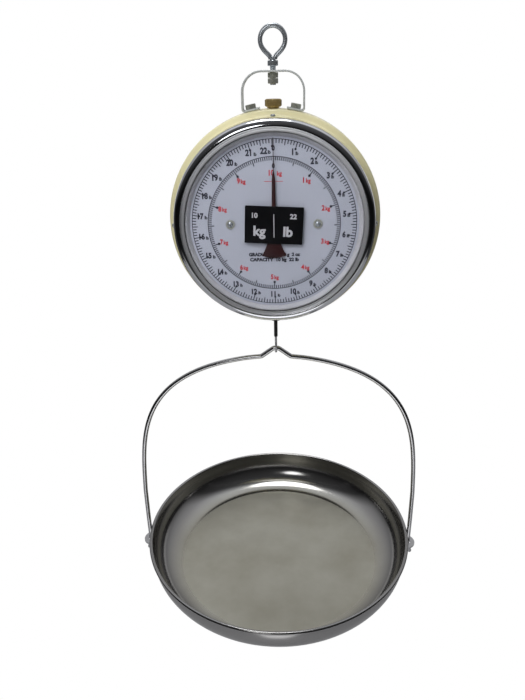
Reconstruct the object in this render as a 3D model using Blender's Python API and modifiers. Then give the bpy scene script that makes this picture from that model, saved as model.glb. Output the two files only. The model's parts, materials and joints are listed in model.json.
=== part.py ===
"""Hanging dial scale. An eye bolt and strap carry a drum with a dial; a hook below carries a bail and a pan.

The origin is the inside top of the eye, where the scale hangs. The dial faces -Y and +Z is up.
Every piece is built about the plumb line x = 0, y = 0, along which the load is carried.
"""

import math

import bpy
import bmesh
from mathutils import Matrix, Vector

MM = 0.001
GAP = 0.3 * MM  # between neighbours that touch on the real scale

# Driving sizes
DRUM_RADIUS = 111 * MM
DRUM_WALL = 1.5 * MM
PAN_RADIUS = 173.5 * MM  # over the rolled rim
PAN_DEPTH = 48.3 * MM  # top of the rim to the underside of the floor
PAN_SHEET = 1.4 * MM
BAIL_WIRE = 5.5 * MM
BAIL_HEIGHT = 266.7 * MM  # hook seat to the top of the rim
EYE_WIRE = 4.5 * MM
EYE_INSIDE = 19.5 * MM
BOLT_SIZE = 5.9 * MM  # M6 over its thread
STRAP_WIDTH = 15 * MM
STRAP_SHEET = 1.8 * MM
STRAP_HALF_SPAN = 31.3 * MM
STRAP_RISE = 34.5 * MM  # drum top to strap top
HOOK_WIRE = 2.6 * MM
HOOK_DROP = 39.1 * MM  # drum bottom to hook seat
PINION_RADIUS = 5 * MM
PINION_TEETH = 16
LOAD_TRAVEL = 31.4 * MM  # one turn of the pointer

# Fastener sizes that go with the bolt
HEX_FLATS = 10 * MM
NUT_HEIGHT = 4.8 * MM
HEAD_HEIGHT = 4 * MM
BOLT_HOLE = BOLT_SIZE + 2 * GAP

# Heights down the suspension
STRAP_TOP_Z = -35.9 * MM
HUB_Z = STRAP_TOP_Z - STRAP_RISE - DRUM_RADIUS
SEAT_Z = HUB_Z - DRUM_RADIUS - HOOK_DROP
RIM_Z = SEAT_Z - BAIL_HEIGHT

# Depths along Y, from the front of the bezel to the back of the drum
BEZEL_FRONT_Y = -34 * MM
LIP_Y = -25 * MM
SHOULDER_Y = -8 * MM
BACK_Y = 28 * MM
BEZEL_SCREW_Y = -19 * MM
LENS_FRONT_Y = -31 * MM
LENS_THICKNESS = 1.8 * MM
PLATE_THICKNESS = 0.7 * MM
POINTER_FRONT_Y = -27.4 * MM
POINTER_THICKNESS = 0.6 * MM
DIAL_FRONT_Y = -24 * MM
DIAL_THICKNESS = 1.2 * MM
CHASSIS_FRONT_Y = -15 * MM
CHASSIS_BACK_Y = 13.5 * MM
CHASSIS_SHEET = 1.5 * MM

# Radii that follow the drum
LIP_RADIUS = DRUM_RADIUS - 6.4 * MM
BEZEL_RADIUS = LIP_RADIUS - 0.6 * MM
SKIRT_RADIUS = LIP_RADIUS - DRUM_WALL - 0.6 * MM
BEZEL_SHEET = 1.3 * MM
SIGHT_RADIUS = BEZEL_RADIUS - 11.8 * MM
LENS_RADIUS = SKIRT_RADIUS - BEZEL_SHEET - 3 * MM
DIAL_RADIUS = SIGHT_RADIUS - 0.5 * MM

ARBOR = 3 * MM
POST_X = 45.2 * MM
POST_Z = 1.4 * MM
SPRING_X = 22 * MM
SPRING_WIRE = 1.8 * MM
SPRING_DIAMETER = 12 * MM
STRAP_BOLT_ANGLE = math.asin(21.6 * MM / DRUM_RADIUS)
ROUND = 48  # sides of the large turned pieces
SMALL_ROUND = 20

to_front = Matrix.Rotation(math.pi / 2, 4, "X")  # turns a shape drawn flat so that it faces -Y
no_turn = Matrix.Identity(4)

for old in list(bpy.data.objects):
    bpy.data.objects.remove(old)

scale_parts = bpy.data.collections.new("hanging_dial_scale")
cutters = bpy.data.collections.new("cutters")
for made in (scale_parts, cutters):
    bpy.context.scene.collection.children.link(made)


# Materials


def paint(name, color, roughness, metallic=0.0, transmission=0.0):
    made = bpy.data.materials.new(name)
    made.use_nodes = True
    shader = made.node_tree.nodes["Principled BSDF"]
    shader.inputs["Base Color"].default_value = (*color, 1)
    shader.inputs["Roughness"].default_value = roughness
    shader.inputs["Metallic"].default_value = metallic
    shader.inputs["Transmission Weight"].default_value = transmission
    return made


cream = paint("cream_paint", (0.86, 0.82, 0.50), 0.35)
chrome = paint("chrome", (0.80, 0.81, 0.83), 0.08, 1.0)
stainless = paint("stainless", (0.60, 0.59, 0.56), 0.25, 1.0)
zinc = paint("zinc_plate", (0.48, 0.50, 0.45), 0.4, 1.0)
strap_paint = paint("strap_grey", (0.70, 0.72, 0.72), 0.4)
brass = paint("brass", (0.45, 0.30, 0.09), 0.35, 1.0)
steel = paint("spring_steel", (0.35, 0.35, 0.36), 0.35, 1.0)
dial_white = paint("dial_white", (0.62, 0.64, 0.72), 0.5)
black_plate = paint("black_plate", (0.01, 0.01, 0.012), 0.3)
pointer_red = paint("pointer_red", (0.12, 0.01, 0.012), 0.4)
rubber = paint("gasket_rubber", (0.06, 0.05, 0.045), 0.7)
glass = paint("lens_glass", (1, 1, 1), 0.02, 0.0, 1.0)
sleeve_black = paint("sleeve_black", (0.005, 0.005, 0.005), 0.45)


# Shapes


def add(name, data, material=None, place=no_turn):
    """Adds a piece, or a cutter where it has no material."""
    piece = bpy.data.objects.new(name, data)
    if material:
        data.materials.append(material)
        scale_parts.objects.link(piece)
    else:
        cutters.objects.link(piece)
        piece.hide_render = True
        piece.display_type = "WIRE"
    piece.matrix_world = place
    return piece


def at(x=0.0, y=0.0, z=0.0, turn=no_turn):
    return Matrix.Translation((x, y, z)) @ turn


def radial(angle, radius, y=0.0):
    """A place on the drum, clockwise from the top, with local +Z pointing out from the hub."""
    turn = Matrix.Rotation(angle, 4, "Y")
    out = turn @ Vector((0, 0, radius))
    return at(out.x, y, HUB_Z + out.z, turn)


def smooth(mesh, degrees=35):
    mesh.shade_smooth()
    mesh.set_sharp_from_angle(angle=math.radians(degrees))


def cylinder(name, diameter, low, high, material=None, place=no_turn, sides=SMALL_ROUND):
    """A cylinder from low to high along local Z."""
    shape = bmesh.new()
    middle = Matrix.Translation((0, 0, (low + high) / 2))
    bmesh.ops.create_cone(
        shape, cap_ends=True, segments=sides, radius1=diameter / 2, radius2=diameter / 2,
        depth=high - low, matrix=middle,
    )
    mesh = bpy.data.meshes.new(name)
    shape.to_mesh(mesh)
    shape.free()
    smooth(mesh)
    return add(name, mesh, material, place)


def box(name, size, centre, material=None, turn=no_turn, bevel=0.0):
    shape = bmesh.new()
    bmesh.ops.create_cube(shape, size=1, matrix=Matrix.Diagonal((*size, 1)))
    mesh = bpy.data.meshes.new(name)
    shape.to_mesh(mesh)
    shape.free()
    piece = add(name, mesh, material, at(*centre, turn))
    if bevel:
        edge = piece.modifiers.new("edges", "BEVEL")
        edge.width = bevel
        edge.segments = 1
    return piece


def turned(name, profile, material, place=no_turn, sides=SMALL_ROUND, closed=True):
    """Turns a (radius, height) profile about local Z. It runs down the outer side and up the inner."""
    mesh = bpy.data.meshes.new(name)
    points = [(radius, 0, height) for radius, height in profile]
    edges = [(i, i + 1) for i in range(len(points) - 1)]
    if closed:
        edges.append((len(points) - 1, 0))
    mesh.from_pydata(points, edges, [])
    piece = add(name, mesh, material, place)
    screw = piece.modifiers.new("turn", "SCREW")
    screw.axis = "Z"
    screw.steps = screw.render_steps = sides
    screw.use_merge_vertices = not closed
    screw.merge_threshold = 1e-5
    screw.use_smooth_shade = True
    return piece


def outline(name, loops, thickness, material=None, place=no_turn):
    """A flat piece drawn in local XY, half its thickness on each side. Loops after the first are holes."""
    curve = bpy.data.curves.new(name, "CURVE")
    curve.dimensions = "2D"
    curve.fill_mode = "BOTH"
    curve.extrude = thickness / 2
    for loop in loops:
        spline = curve.splines.new("POLY")
        spline.points.add(len(loop) - 1)
        for point, (x, y) in zip(spline.points, loop):
            point.co = (x, y, 0, 1)
        spline.use_cyclic_u = True
    return add(name, curve, material, place)


def circle(radius, sides=SMALL_ROUND, centre=(0.0, 0.0)):
    turns = [2 * math.pi * i / sides for i in range(sides)]
    return [(centre[0] + radius * math.cos(t), centre[1] + radius * math.sin(t)) for t in turns]


def arc(radius, start, end, steps, centre=(0.0, 0.0)):
    turns = [start + (end - start) * i / steps for i in range(steps + 1)]
    return [(centre[0] + radius * math.cos(t), centre[1] + radius * math.sin(t)) for t in turns]


def wire(name, points, diameter, material, resolution=2):
    curve = bpy.data.curves.new(name, "CURVE")
    curve.dimensions = "3D"
    curve.bevel_depth = diameter / 2
    curve.bevel_resolution = resolution
    curve.use_fill_caps = True
    spline = curve.splines.new("POLY")
    spline.points.add(len(points) - 1)
    for point, place in zip(spline.points, points):
        point.co = (*place, 1)
    spline.use_smooth = True
    return add(name, curve, material)


def as_mesh(piece):
    """Makes a curve a closed mesh, so that it can be cut or joined."""
    bpy.context.view_layer.update()
    graph = bpy.context.evaluated_depsgraph_get()
    mesh = bpy.data.meshes.new_from_object(piece.evaluated_get(graph))
    shape = bmesh.new()
    shape.from_mesh(mesh)
    bmesh.ops.remove_doubles(shape, verts=shape.verts, dist=1e-6)
    bmesh.ops.recalc_face_normals(shape, faces=shape.faces)
    shape.to_mesh(mesh)
    shape.free()
    name, home, place = piece.name, piece.users_collection[0], piece.matrix_world.copy()
    helper = piece.hide_render
    bpy.data.objects.remove(piece)
    made = bpy.data.objects.new(name, mesh)
    home.objects.link(made)
    made.hide_render = helper
    made.display_type = "WIRE" if helper else "TEXTURED"
    made.matrix_world = place
    return made


def combine(piece, operation, others):
    for other in others:
        step = piece.modifiers.new(other.name, "BOOLEAN")
        step.operation = operation
        step.solver = "EXACT"
        step.object = other
        if other.name not in cutters.objects:
            other.hide_render = True
            other.display_type = "WIRE"
    return piece


def cut(piece, *others):
    return combine(piece, "DIFFERENCE", others)


def join(piece, *others):
    return combine(piece, "UNION", others)


def rounded(corners, radii, steps=6):
    """The corners as a path in space whose inner corners are arcs of the given radii."""
    corners = [Vector(corner) for corner in corners]
    path = [corners[0]]
    for before, corner, after, radius in zip(corners, corners[1:], corners[2:], radii):
        coming = (corner - before).normalized()
        going = (after - corner).normalized()
        turn = coming.angle(going)
        start = corner - coming * radius * math.tan(turn / 2)
        axis = coming.cross(going).normalized()
        centre = start + axis.cross(coming) * radius
        for i in range(steps + 1):
            path.append(centre + Matrix.Rotation(turn * i / steps, 3, axis) @ (start - centre))
    path.append(corners[-1])
    return path


def bezier(start, leave, arrive, end, steps):
    points = []
    for i in range(steps + 1):
        t = i / steps
        s = 1 - t
        points.append(start * s**3 + leave * (3 * s * s * t) + arrive * (3 * s * t * t) + end * t**3)
    return points


def strip(path, thickness):
    """The outline of a bent strip, from its middle line in (x, z)."""
    sides = ([], [])
    for i, point in enumerate(path):
        coming = (point - path[max(i - 1, 0)]).normalized() if i else None
        going = (path[i + 1] - point).normalized() if i + 1 < len(path) else coming
        coming = coming or going
        along = (coming + going).normalized()
        across = Vector((-along.z, 0, along.x)) * thickness / 2 / max(along.dot(going), 0.2)
        sides[0].append(point + across)
        sides[1].append(point - across)
    loop = sides[0] + sides[1][::-1]
    return [(point.x, point.z) for point in loop]


def hex_nut(name, low, bore, material, place, flats=HEX_FLATS, height=NUT_HEIGHT):
    """A hexagon nut whose underside is at low along local Z."""
    corners = flats / math.cos(math.pi / 6)
    nut = cylinder(name, corners, low, low + height, material, place, 6)
    hole = cylinder(name + "_hole", bore, low - height, low + 2 * height, place=place)
    return cut(nut, hole)


# Suspension: the eye bolt and its three nuts


def eye_bolt():
    middle = (EYE_INSIDE + EYE_WIRE) / 2
    centre_z = EYE_WIRE / 2 - middle
    neck_z = centre_z - middle - 4.4 * MM
    swing = arc(middle, math.radians(-38), math.radians(218), 22, (0, centre_z))
    ring = [Vector((x, 0, z)) for x, z in swing]
    heading = (ring[0] - ring[1]).normalized()
    neck = Vector((EYE_WIRE / 2 + GAP / 2, 0, neck_z))
    down = bezier(ring[0], ring[0] + heading * 6 * MM, neck + Vector((0, 0, 4 * MM)), neck, 5)[1:]
    across = [Vector((-point.x, 0, point.z)) for point in down]
    eye = as_mesh(wire("eye_bolt", down[::-1] + ring + across, EYE_WIRE, zinc))
    shank = cylinder("eye_shank", BOLT_SIZE, EYE_SHANK_END_Z, neck_z + 2.5 * MM, zinc)
    return join(eye, shank)


RETAINING_NUT_Z = STRAP_TOP_Z - STRAP_SHEET - GAP - NUT_HEIGHT
LOCK_NUT_Z = RETAINING_NUT_Z - GAP - NUT_HEIGHT
JAM_NUT_Z = STRAP_TOP_Z + 3.6 * MM
EYE_SHANK_END_Z = LOCK_NUT_Z - 1.2 * MM

eye_bolt()
for nut_name, nut_z in (
    ("jam_nut", JAM_NUT_Z), ("retaining_nut", RETAINING_NUT_Z), ("lock_nut", LOCK_NUT_Z),
):
    hex_nut(nut_name, nut_z, BOLT_HOLE, zinc, at())


# Strap: a bent strip bolted to the top of the drum


def hanging_strap():
    half = STRAP_SHEET / 2
    side_x = STRAP_HALF_SPAN - half
    tangent = Vector((math.cos(STRAP_BOLT_ANGLE), 0, -math.sin(STRAP_BOLT_ANGLE)))
    foot = radial(STRAP_BOLT_ANGLE, DRUM_RADIUS + GAP + half).translation
    inner_end = foot - tangent * 8.5 * MM
    heel = foot + tangent * (side_x - foot.x) / tangent.x
    top_z = STRAP_TOP_Z - half
    right = [inner_end, heel, Vector((side_x, 0, top_z))]
    left = [Vector((-point.x, 0, point.z)) for point in reversed(right)]
    bends = (2.2 * MM, 18.5 * MM, 18.5 * MM, 2.2 * MM)
    path = rounded(right + left, bends, 7)
    strap = as_mesh(
        outline("hanging_strap", [strip(path, STRAP_SHEET)], STRAP_WIDTH, strap_paint, at(turn=to_front))
    )
    strap.data.materials.clear()
    strap.data.materials.append(strap_paint)
    holes = [cylinder("strap_top_hole", BOLT_HOLE, top_z - 5 * MM, top_z + 5 * MM)]
    for side in (1, -1):
        place = radial(side * STRAP_BOLT_ANGLE, DRUM_RADIUS)
        holes.append(cylinder("strap_foot_hole", BOLT_HOLE, -2 * MM, 5 * MM, place=place))
    return cut(strap, *holes)


hanging_strap()

# Bolts through the strap, the drum and the chassis bracket, with nuts inside
BRACKET_OUTER = DRUM_RADIUS - DRUM_WALL - 0.5 * MM
BRACKET_INNER = BRACKET_OUTER - 1.8 * MM
for side_name, side in (("right", 1), ("left", -1)):
    place = radial(side * STRAP_BOLT_ANGLE, 0)
    seat = DRUM_RADIUS + STRAP_SHEET + 2 * GAP
    nut_low = BRACKET_INNER - GAP - NUT_HEIGHT
    corners = HEX_FLATS / math.cos(math.pi / 6)
    head = cylinder("strap_bolt_" + side_name, corners, seat, seat + HEAD_HEIGHT, zinc, place, 6)
    shank = cylinder("strap_bolt_shank", BOLT_SIZE, nut_low - 1.5 * MM, seat + 1 * MM, place=place)
    join(head, shank)
    hex_nut("strap_nut_" + side_name, nut_low, BOLT_HOLE, zinc, place)

# Drum, open at the front
SKIRT_HOLE = 3.4 * MM
BUSH_BARREL = 9 * MM
GUIDE_BARREL = 8 * MM


def drum_side(inset):
    """The drum's side from front lip to back, as (radius, distance to the front), moved in by inset."""
    radius = DRUM_RADIUS - inset
    lip = LIP_RADIUS - inset
    back = BACK_Y - inset
    return [
        (lip, -LIP_Y),
        (lip, -LIP_Y - 9.5 * MM),
        (lip + 2.2 * MM, -LIP_Y - 12.2 * MM),
        (radius - 0.8 * MM, -SHOULDER_Y + 1.4 * MM),
        (radius, -SHOULDER_Y),
        (radius, -back + 12 * MM),
        (radius - 1.6 * MM, -back + 6.4 * MM),
        (radius - 5.5 * MM, -back + 2.4 * MM),
        (radius - 11 * MM, -back),
        (radius - 24 * MM, -back),
        (radius - 25.5 * MM, -back + 1.2 * MM),
    ]


drum_profile = drum_side(0) + [(0, -BACK_Y + 1.2 * MM)]
drum_profile += [(0, -BACK_Y + 1.2 * MM + DRUM_WALL)] + drum_side(DRUM_WALL)[::-1]
drum = turned("drum_housing", drum_profile, cream, at(z=HUB_Z, turn=to_front), ROUND, closed=False)
drum.data.edges.add(1)
drum.data.edges[-1].vertices = (len(drum_profile) - 1, 0)
through = DRUM_RADIUS - 8 * MM, DRUM_RADIUS + 5 * MM
drum_holes = [
    cylinder("bush_hole", BUSH_BARREL + 2 * GAP, *through, place=radial(0, 0)),
    cylinder("guide_hole", GUIDE_BARREL + 2 * GAP, *through, place=radial(math.pi, 0)),
]
for side in (1, -1):
    drum_holes.append(
        cylinder("drum_bolt_hole", BOLT_HOLE, *through, place=radial(side * STRAP_BOLT_ANGLE, 0))
    )
skirt_holes = []
for i in range(4):
    place = radial(i * math.pi / 2, 0, BEZEL_SCREW_Y)
    low = SKIRT_RADIUS - 6 * MM
    drum_holes.append(cylinder("lip_screw_hole", SKIRT_HOLE, low, LIP_RADIUS + 4 * MM, place=place))
    skirt_holes.append(cylinder("skirt_hole", SKIRT_HOLE, low, LIP_RADIUS + 4 * MM, place=place))
cut(drum, *drum_holes)

# Bezel ring, whose skirt fits inside the drum lip, with its four screws
SKIRT_BACK_Y = -13 * MM
LIP_FRONT = -LIP_Y + GAP
BEZEL_FRONT = -BEZEL_FRONT_Y
inner_skirt = SKIRT_RADIUS - BEZEL_SHEET
bezel_profile = [
    (BEZEL_RADIUS - 5 * MM, BEZEL_FRONT - 0.2 * MM),
    (BEZEL_RADIUS - 2.8 * MM, BEZEL_FRONT),
    (BEZEL_RADIUS - 0.9 * MM, BEZEL_FRONT - 0.8 * MM),
    (BEZEL_RADIUS, BEZEL_FRONT - 2.6 * MM),
    (BEZEL_RADIUS, LIP_FRONT + 0.6 * MM),
    (BEZEL_RADIUS - 0.5 * MM, LIP_FRONT),
    (SKIRT_RADIUS, LIP_FRONT),
    (SKIRT_RADIUS, -SKIRT_BACK_Y),
    (inner_skirt, -SKIRT_BACK_Y),
    (inner_skirt, LIP_FRONT + BEZEL_SHEET),
    (BEZEL_RADIUS - BEZEL_SHEET, LIP_FRONT + BEZEL_SHEET + 0.4 * MM),
    (BEZEL_RADIUS - BEZEL_SHEET, BEZEL_FRONT - 2.8 * MM),
    (BEZEL_RADIUS - 2.9 * MM, BEZEL_FRONT - BEZEL_SHEET),
    (BEZEL_RADIUS - 5 * MM, BEZEL_FRONT - BEZEL_SHEET - 0.2 * MM),
    (SIGHT_RADIUS, -LENS_FRONT_Y + GAP),
    (SIGHT_RADIUS, -LENS_FRONT_Y + GAP + 0.9 * MM),
]
bezel = turned("bezel_ring", bezel_profile, chrome, at(z=HUB_Z, turn=to_front), ROUND)
cut(bezel, *skirt_holes)

for i, clock in enumerate(("top", "right", "bottom", "left")):
    head_low = LIP_RADIUS + GAP
    pan_head = [
        (0, head_low + 1.9 * MM),
        (1.6 * MM, head_low + 1.8 * MM),
        (2.6 * MM, head_low + 0.9 * MM),
        (2.6 * MM, head_low),
        (SKIRT_HOLE / 2 - GAP, head_low),
        (SKIRT_HOLE / 2 - GAP, inner_skirt - 2.5 * MM),
        (0, inner_skirt - 2.5 * MM),
    ]
    turned("bezel_screw_" + clock, pan_head, zinc, radial(i * math.pi / 2, 0, BEZEL_SCREW_Y), 12, False)

# Lens, its gasket and the sloping surround between the lens and the dial
LENS_BACK = -LENS_FRONT_Y - LENS_THICKNESS
hub_place = at(z=HUB_Z, turn=to_front)
cylinder("lens", 2 * LENS_RADIUS, LENS_BACK, -LENS_FRONT_Y, glass, hub_place, ROUND)
GASKET_BACK = LENS_BACK - GAP - 1.7 * MM
gasket_profile = [
    (LENS_RADIUS + 0.2 * MM, LENS_BACK - GAP),
    (LENS_RADIUS + 0.2 * MM, GASKET_BACK),
    (SIGHT_RADIUS + 0.6 * MM, GASKET_BACK),
    (SIGHT_RADIUS + 0.6 * MM, LENS_BACK - GAP),
]
turned("lens_gasket", gasket_profile, rubber, hub_place, ROUND)
surround_front = LENS_BACK - GAP
surround_back = -DIAL_FRONT_Y + GAP
surround_profile = [
    (SIGHT_RADIUS - 1.8 * MM, surround_front),
    (SIGHT_RADIUS - 0.4 * MM, surround_front),
    (SIGHT_RADIUS - 0.4 * MM, GASKET_BACK - GAP),
    (LENS_RADIUS + 1.2 * MM, GASKET_BACK - GAP),
    (LENS_RADIUS + 1.2 * MM, GASKET_BACK - GAP - 1.2 * MM),
    (SIGHT_RADIUS - 2.6 * MM, GASKET_BACK - GAP - 1.2 * MM),
    (SIGHT_RADIUS - 3.6 * MM, surround_back),
    (SIGHT_RADIUS - 4.8 * MM, surround_back),
]
turned("dial_surround", surround_profile, dial_white, hub_place, ROUND)

# Dial, its two screws and posts, and the name plate bonded behind the lens
SCREW_SHANK = 3.3 * MM
DIAL_HUB_HOLE = 12 * MM
dial_y = DIAL_FRONT_Y + DIAL_THICKNESS / 2
posts = [(side * POST_X, POST_Z) for side in (1, -1)]
dial_holes = [circle(SCREW_SHANK / 2 + GAP, 12, post) for post in posts]
dial_loops = [circle(DIAL_RADIUS, ROUND), circle(DIAL_HUB_HOLE / 2)] + dial_holes
outline("dial_plate", dial_loops, DIAL_THICKNESS, dial_white, at(0, dial_y, HUB_Z, to_front))
for (post_x, post_z), side_name in zip(posts, ("right", "left")):
    place = at(post_x, 0, HUB_Z + post_z, to_front)
    head_low = -DIAL_FRONT_Y + GAP
    dial_back = -DIAL_FRONT_Y - DIAL_THICKNESS
    screw_profile = [
        (0, head_low + 1.6 * MM),
        (2.4 * MM, head_low + 1.5 * MM),
        (3 * MM, head_low + 0.7 * MM),
        (4.8 * MM, head_low + 0.6 * MM),
        (4.8 * MM, head_low),
        (SCREW_SHANK / 2, head_low),
        (SCREW_SHANK / 2, -CHASSIS_FRONT_Y + 1 * MM),
        (0, -CHASSIS_FRONT_Y + 1 * MM),
    ]
    turned("dial_screw_" + side_name, screw_profile, zinc, place, 16, False)
    bore = SCREW_SHANK / 2 + GAP
    post_profile = [
        (4 * MM, dial_back - GAP),
        (4 * MM, -CHASSIS_FRONT_Y + GAP),
        (bore, -CHASSIS_FRONT_Y + GAP),
        (bore, dial_back - GAP),
    ]
    turned("dial_post_" + side_name, post_profile, zinc, place, 16)
plate_y = -(LENS_BACK - GAP - PLATE_THICKNESS / 2)
plate_turn = Matrix.Rotation(math.radians(2.6), 4, "Y")
plate_size = (60 * MM, PLATE_THICKNESS, 38.5 * MM)
box("name_plate", plate_size, (0, plate_y, HUB_Z + 1.2 * MM), black_plate, plate_turn)

# Chassis: a back plate with a curved bracket under the drum top, a front plate and four pillars
PILLAR_X = 47 * MM
PILLAR_Z = 23 * MM
TENON = 3.4 * MM
PLATE_HALF = (54 * MM, 30 * MM)
STEM_HALF = 24 * MM
BUSH_HOLE = 8.6 * MM
pillar_spots = [(x * PILLAR_X, z * PILLAR_Z) for x in (1, -1) for z in (1, -1)]
tenon_holes = [circle(TENON / 2 + GAP, 12, spot) for spot in pillar_spots]
right, top = PLATE_HALF
front_loop = [(right, -top), (right, top), (-right, top), (-right, -top)]
bush_loop = circle(BUSH_HOLE / 2)
front_plate_y = CHASSIS_FRONT_Y + CHASSIS_SHEET / 2
post_holes = [circle(SCREW_SHANK / 2 + GAP, 12, post) for post in posts]
outline(
    "chassis_front_plate", [front_loop, bush_loop] + tenon_holes + post_holes, CHASSIS_SHEET, zinc,
    at(0, front_plate_y, HUB_Z, to_front),
)
mid_bracket = (BRACKET_OUTER + BRACKET_INNER) / 2
stem_angle = math.acos(STEM_HALF / mid_bracket)
back_loop = [(right, -top), (right, top), (STEM_HALF, top)]
back_loop += arc(mid_bracket, stem_angle, math.pi - stem_angle, 8)
back_loop += [(-STEM_HALF, top), (-right, top), (-right, -top)]
back_plate_y = CHASSIS_BACK_Y - CHASSIS_SHEET / 2
back_plate = as_mesh(
    outline(
        "chassis_back_plate", [back_loop, bush_loop] + tenon_holes, CHASSIS_SHEET, zinc,
        at(0, back_plate_y, HUB_Z, to_front),
    )
)
BRACKET_SPREAD = math.radians(17)
bracket_front_y = SHOULDER_Y + 0.5 * MM
upright = math.pi / 2
bracket_loop = arc(BRACKET_OUTER, upright - BRACKET_SPREAD, upright + BRACKET_SPREAD, 10)
bracket_loop += arc(BRACKET_INNER, upright + BRACKET_SPREAD, upright - BRACKET_SPREAD, 10)
bracket_depth = CHASSIS_BACK_Y - bracket_front_y + 0.1 * MM
bracket_y = bracket_front_y + bracket_depth / 2
bracket = as_mesh(
    outline("chassis_bracket", [bracket_loop], bracket_depth, place=at(0, bracket_y, HUB_Z, to_front))
)
join(back_plate, bracket)
bracket_holes = [cylinder("bracket_bush_hole", BUSH_BARREL + 2 * GAP, *through, place=radial(0, 0))]
for side in (1, -1):
    place = radial(side * STRAP_BOLT_ANGLE, 0)
    bracket_holes.append(cylinder("bracket_bolt_hole", BOLT_HOLE, *through, place=place))
cut(back_plate, *bracket_holes)

front_inside = -CHASSIS_FRONT_Y - CHASSIS_SHEET - GAP
back_inside = -CHASSIS_BACK_Y + CHASSIS_SHEET + GAP
for i, (x, z) in enumerate(pillar_spots):
    pillar_profile = [
        (0, -CHASSIS_FRONT_Y + 0.8 * MM),
        (TENON / 2, -CHASSIS_FRONT_Y + 0.8 * MM),
        (TENON / 2, front_inside),
        (3 * MM, front_inside),
        (3 * MM, back_inside),
        (TENON / 2, back_inside),
        (TENON / 2, -CHASSIS_BACK_Y - 0.8 * MM),
        (0, -CHASSIS_BACK_Y - 0.8 * MM),
    ]
    turned(f"chassis_pillar_{i + 1}", pillar_profile, zinc, at(x, 0, HUB_Z + z, to_front), 12, False)

# Arbor bushes, turned brass, flanged on the inside of each chassis plate
arbor_bore = ARBOR / 2 + GAP
barrel = BUSH_HOLE / 2 - GAP
bush_front = [
    (barrel, -CHASSIS_FRONT_Y + 0.6 * MM),
    (barrel, front_inside),
    (5.6 * MM, front_inside),
    (5.6 * MM, front_inside - 1.5 * MM),
    (arbor_bore, front_inside - 1.5 * MM),
    (arbor_bore, -CHASSIS_FRONT_Y + 0.6 * MM),
]
turned("arbor_bush_front", bush_front, brass, hub_place)
bush_back = [
    (5.6 * MM, back_inside + 1.5 * MM),
    (5.6 * MM, back_inside),
    (barrel, back_inside),
    (barrel, -CHASSIS_BACK_Y - 0.6 * MM),
    (arbor_bore, -CHASSIS_BACK_Y - 0.6 * MM),
    (arbor_bore, back_inside + 1.5 * MM),
]
turned("arbor_bush_back", bush_back, brass, hub_place)

# Pointer, hub, arbor and pinion
POINTER_REACH = DIAL_RADIUS - 5.2 * MM
HUB_BORE = ARBOR / 2 + GAP
TAIL_RADIUS = 33.8 * MM


def pointer_outline():
    """Half of the pointer from its tip down to its tail, then the mirror image back up."""
    tail_swing = math.asin(12.9 * MM / TAIL_RADIUS)
    tail = arc(TAIL_RADIUS, -upright + tail_swing, -upright + tail_swing / 4, 3)
    half = [
        (0.28 * MM, POINTER_REACH),
        (0.32 * MM, 53 * MM),
        (1.75 * MM, 43.5 * MM),
        (2.3 * MM, 7.2 * MM),
    ]
    half += arc(6.5 * MM, math.radians(60), math.radians(-60), 6)
    half += [(2.6 * MM, -7.6 * MM), (10.3 * MM, -26.3 * MM)] + tail
    return half + [(-x, z) for x, z in reversed(half)]


pointer_y = POINTER_FRONT_Y + POINTER_THICKNESS / 2
outline(
    "pointer", [pointer_outline(), circle(HUB_BORE)], POINTER_THICKNESS, pointer_red,
    at(0, pointer_y, HUB_Z, to_front),
)
hub_front = -POINTER_FRONT_Y - POINTER_THICKNESS - GAP
hub_profile = [
    (4 * MM, hub_front),
    (4 * MM, hub_front - 5 * MM),
    (HUB_BORE, hub_front - 5 * MM),
    (HUB_BORE, hub_front),
]
turned("pointer_hub", hub_profile, brass, hub_place)
arbor_front = -POINTER_FRONT_Y + 0.4 * MM
arbor_back = -CHASSIS_BACK_Y - 2 * MM
cylinder("pointer_arbor", ARBOR, arbor_back, arbor_front, steel, hub_place, 16)

# Rack and pinion: the rack runs down the right-hand side of the pinion, in front of the crossbar
TOOTH_PITCH = 2 * math.pi * PINION_RADIUS / PINION_TEETH
TOOTH_OUT = 0.11 * PINION_RADIUS
TOOTH_IN = 0.17 * PINION_RADIUS
PINION_Y = -6.3 * MM


def pinion_outline():
    points = []
    turn = 2 * math.pi / PINION_TEETH
    for tooth in range(PINION_TEETH):
        for share, radius in (
            (-0.29, PINION_RADIUS - TOOTH_IN),
            (-0.11, PINION_RADIUS + TOOTH_OUT),
            (0.11, PINION_RADIUS + TOOTH_OUT),
            (0.29, PINION_RADIUS - TOOTH_IN),
        ):
            angle = (tooth + share) * turn
            points.append((radius * math.cos(angle), radius * math.sin(angle)))
    return points


pinion_loops = [pinion_outline(), circle(HUB_BORE, 16)]
outline("pinion_gear", pinion_loops, 3.4 * MM, brass, at(0, PINION_Y, HUB_Z, to_front))

CROSSBAR_SIZE = (58 * MM, 8 * MM, 6 * MM)
CROSSBAR_Z = HUB_Z - 49 * MM
RACK_SIZE_Y = 4 * MM
rack_low = CROSSBAR_Z - HUB_Z - CROSSBAR_SIZE[2] / 2
rack_screw_spot = (PINION_RADIUS + 3 * MM, CROSSBAR_Z - HUB_Z)


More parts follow.
